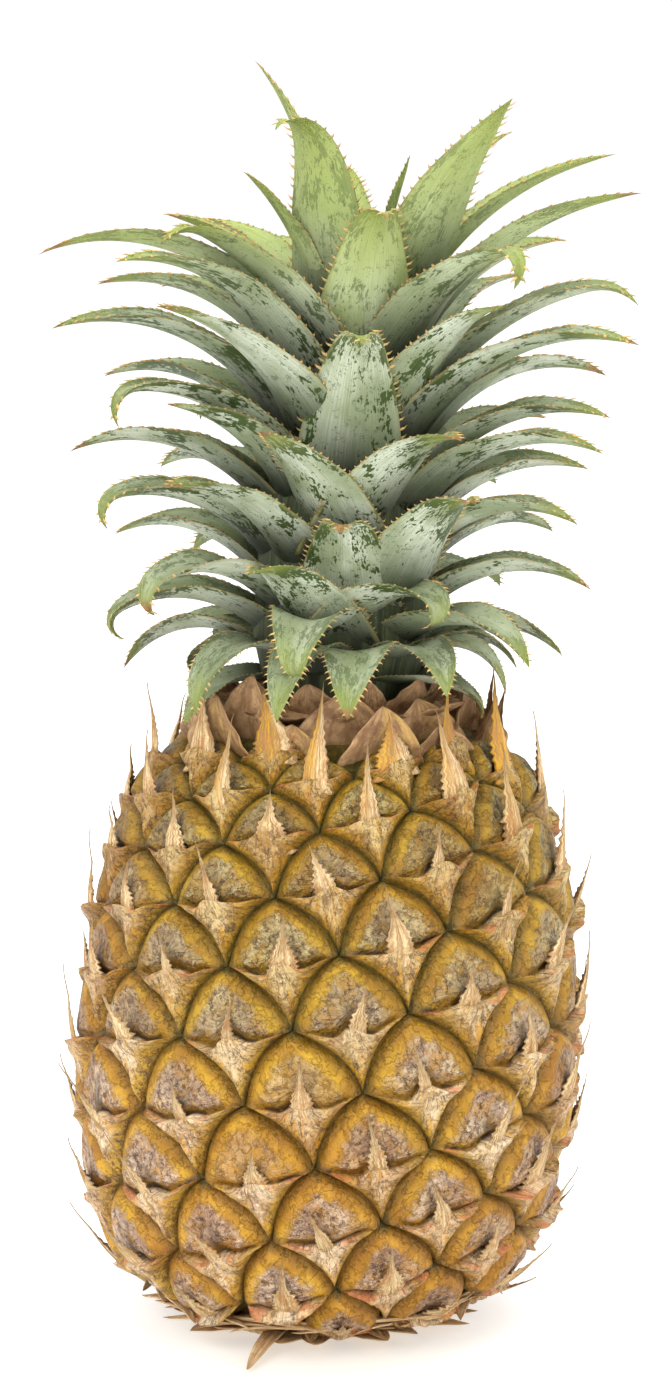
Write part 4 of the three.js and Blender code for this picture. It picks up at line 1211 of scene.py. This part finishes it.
# %% Base ring and stalk
RING_TOP, RING_SIDES = SOLE_HEIGHT - GAP, 72
ring_profile = np.array([
    [WELL_RADIUS, 0], [25, 0], [26, 1.2], [23.4, RING_TOP], [WELL_RADIUS, RING_TOP], [WELL_RADIUS, 0],
])
ring_faces = grid_faces(1, len(ring_profile), RING_SIDES, wrap=True)
ring_points = turned_rings(ring_profile, RING_SIDES)
make_piece("base_bract_ring", "base_bracts", BASE, ring_points, ring_faces, {
    "Place": np.tile([[0.3, 0.3], [0.5, 0.3], [0.5, 0.5], [0.3, 0.5]], (len(ring_faces), 1)),
    "Item": np.full((ring_faces.size, 2), 0.4),
})
STALK = papery_material("Cut stalk", rgb(206, 176, 124), rgb(150, 112, 66), rgb(122, 84, 48), TAN, 30.0)
stalk_profile = [
    [0.1, 0], [4, 0], [8, 0], [STALK_RADIUS - 0.8, 0], [STALK_RADIUS, 0.8],
    [STALK_RADIUS, STALK_HEIGHT], [0.1, STALK_HEIGHT],
]
turned_piece("stalk_end", "stalk", STALK, stalk_profile, 64, tone=0.6)

# %% [markdown]
# ## Floor, light and camera
# The fruit stands on a white table before a white wall, in soft light. A wide pale floor runs
# far back, the world is white, and three large lamps, two in front and one above, give the
# fruit its shape and shine. The floor glows faintly, which washes out most of the shadow.

# %% Floor
FLOOR_HALF, FLOOR_DROP, FLOOR_GLOW = 4.0, 0.0002, 0.85
FLOOR_WHITE, FLOOR_PAINTED_SHADOW = (0.62, 0.62, 0.62, 1.0), (0.52, 0.50, 0.455, 1.0)


def floor_material():
    """White floor with a warm painted shadow under and in front of the fruit, inside an uneven
    ellipse that reaches about 90 mm to the sides and 160 mm forwards and back from its middle.
    It glows in its own colour."""
    material, g, shader = new_material("Pale floor")
    split = g.node("ShaderNodeSeparateXYZ", {0: g.object_place()})
    x = g.times(g.plus(split.outputs["X"], -0.004), 13.0)
    y = g.times(g.plus(split.outputs["Y"], 0.11), 7.0)
    away = g.math("SQRT", g.plus(g.times(x, x), g.times(y, y)))
    uneven = g.plus(away, g.times(g.noise(g.object_place(), 12.0, 2.0), 0.2))
    # Painted shadow: warm grey inside the ellipse under and in front of the fruit, white outside it.
    floor_tone_and_painted_shadow = g.blend(g.step(uneven, 1.25, 0.35), FLOOR_WHITE, FLOOR_PAINTED_SHADOW)
    g.feed(shader.inputs["Base Color"], floor_tone_and_painted_shadow)
    g.feed(shader.inputs["Emission Color"], floor_tone_and_painted_shadow)
    g.feed(shader.inputs["Emission Strength"], FLOOR_GLOW)
    g.feed(shader.inputs["Roughness"], 0.9)
    return material


def floor_plane():
    """A flat floor, 8 m wide, a hair under the part."""
    square = [(-1, -1), (1, -1), (1, 1), (-1, 1)]
    corners = [(x * FLOOR_HALF, y * FLOOR_HALF, -FLOOR_DROP) for x, y in square]
    mesh = bpy.data.meshes.new("floor")
    mesh.from_pydata(corners, [], [(0, 1, 2, 3)])
    floor = bpy.data.objects.new("floor", mesh)
    bpy.context.scene.collection.objects.link(floor)
    mesh.materials.append(floor_material())
    print("floor:", 2 * FLOOR_HALF, "m wide")


floor_plane()

# %% Lamps and world
LAMP_SIZE, LAMP_AIM = 1.4, Vector((0, 0, 0.15))
LAMPS = {  # place in metres, power in watts
    "front_left": ((-0.9, -1.3, 1.2), 22),
    "front_right": ((1.1, -1.0, 0.9), 12),
    "above": ((0.1, 0.1, 1.6), 20),
}


def lamp(name, place, power):
    """A square lamp that faces the middle of the part."""
    light = bpy.data.lights.new(name, "AREA")
    light.shape, light.size, light.energy = "SQUARE", LAMP_SIZE, power
    made = bpy.data.objects.new(name, light)
    made.location = place
    made.rotation_euler = (LAMP_AIM - Vector(place)).to_track_quat("-Z", "Y").to_euler()
    bpy.context.scene.collection.objects.link(made)
    print("lamp:", name, power, "W")


for name, (place, power) in LAMPS.items():
    lamp(name, place, power)
world = bpy.data.worlds.new("White studio")
world.use_nodes = True
background = world.node_tree.nodes["Background"]
background.inputs["Color"].default_value = (1, 1, 1, 1)
background.inputs["Strength"].default_value = 1.06
bpy.context.scene.world = world
bpy.context.scene.view_settings.view_transform = "Standard"

# %% Camera
CAMERA_UP, FRAME_ANGLE = np.radians(8.5), np.radians(17.0)
CAMERA_AWAY, CAMERA_AIM = 1.1, Vector((0.0043, 0, 0.149))


def add_camera():
    """The camera stands 8.5 degrees above the horizon, 1.1 m from the point that it looks at.
    The frame is upright, so the 17 degrees are measured over its height."""
    data = bpy.data.cameras.new("camera")
    data.sensor_fit = "VERTICAL"
    data.sensor_height = 36.0
    data.angle_y = FRAME_ANGLE
    camera = bpy.data.objects.new("camera", data)
    back = Vector((0, -np.cos(CAMERA_UP), np.sin(CAMERA_UP)))
    camera.location = CAMERA_AIM + CAMERA_AWAY * back
    camera.rotation_euler = (CAMERA_AIM - camera.location).to_track_quat("-Z", "Y").to_euler()
    bpy.context.scene.collection.objects.link(camera)
    bpy.context.scene.camera = camera
    print("lens in mm:", round(data.lens, 1))


add_camera()
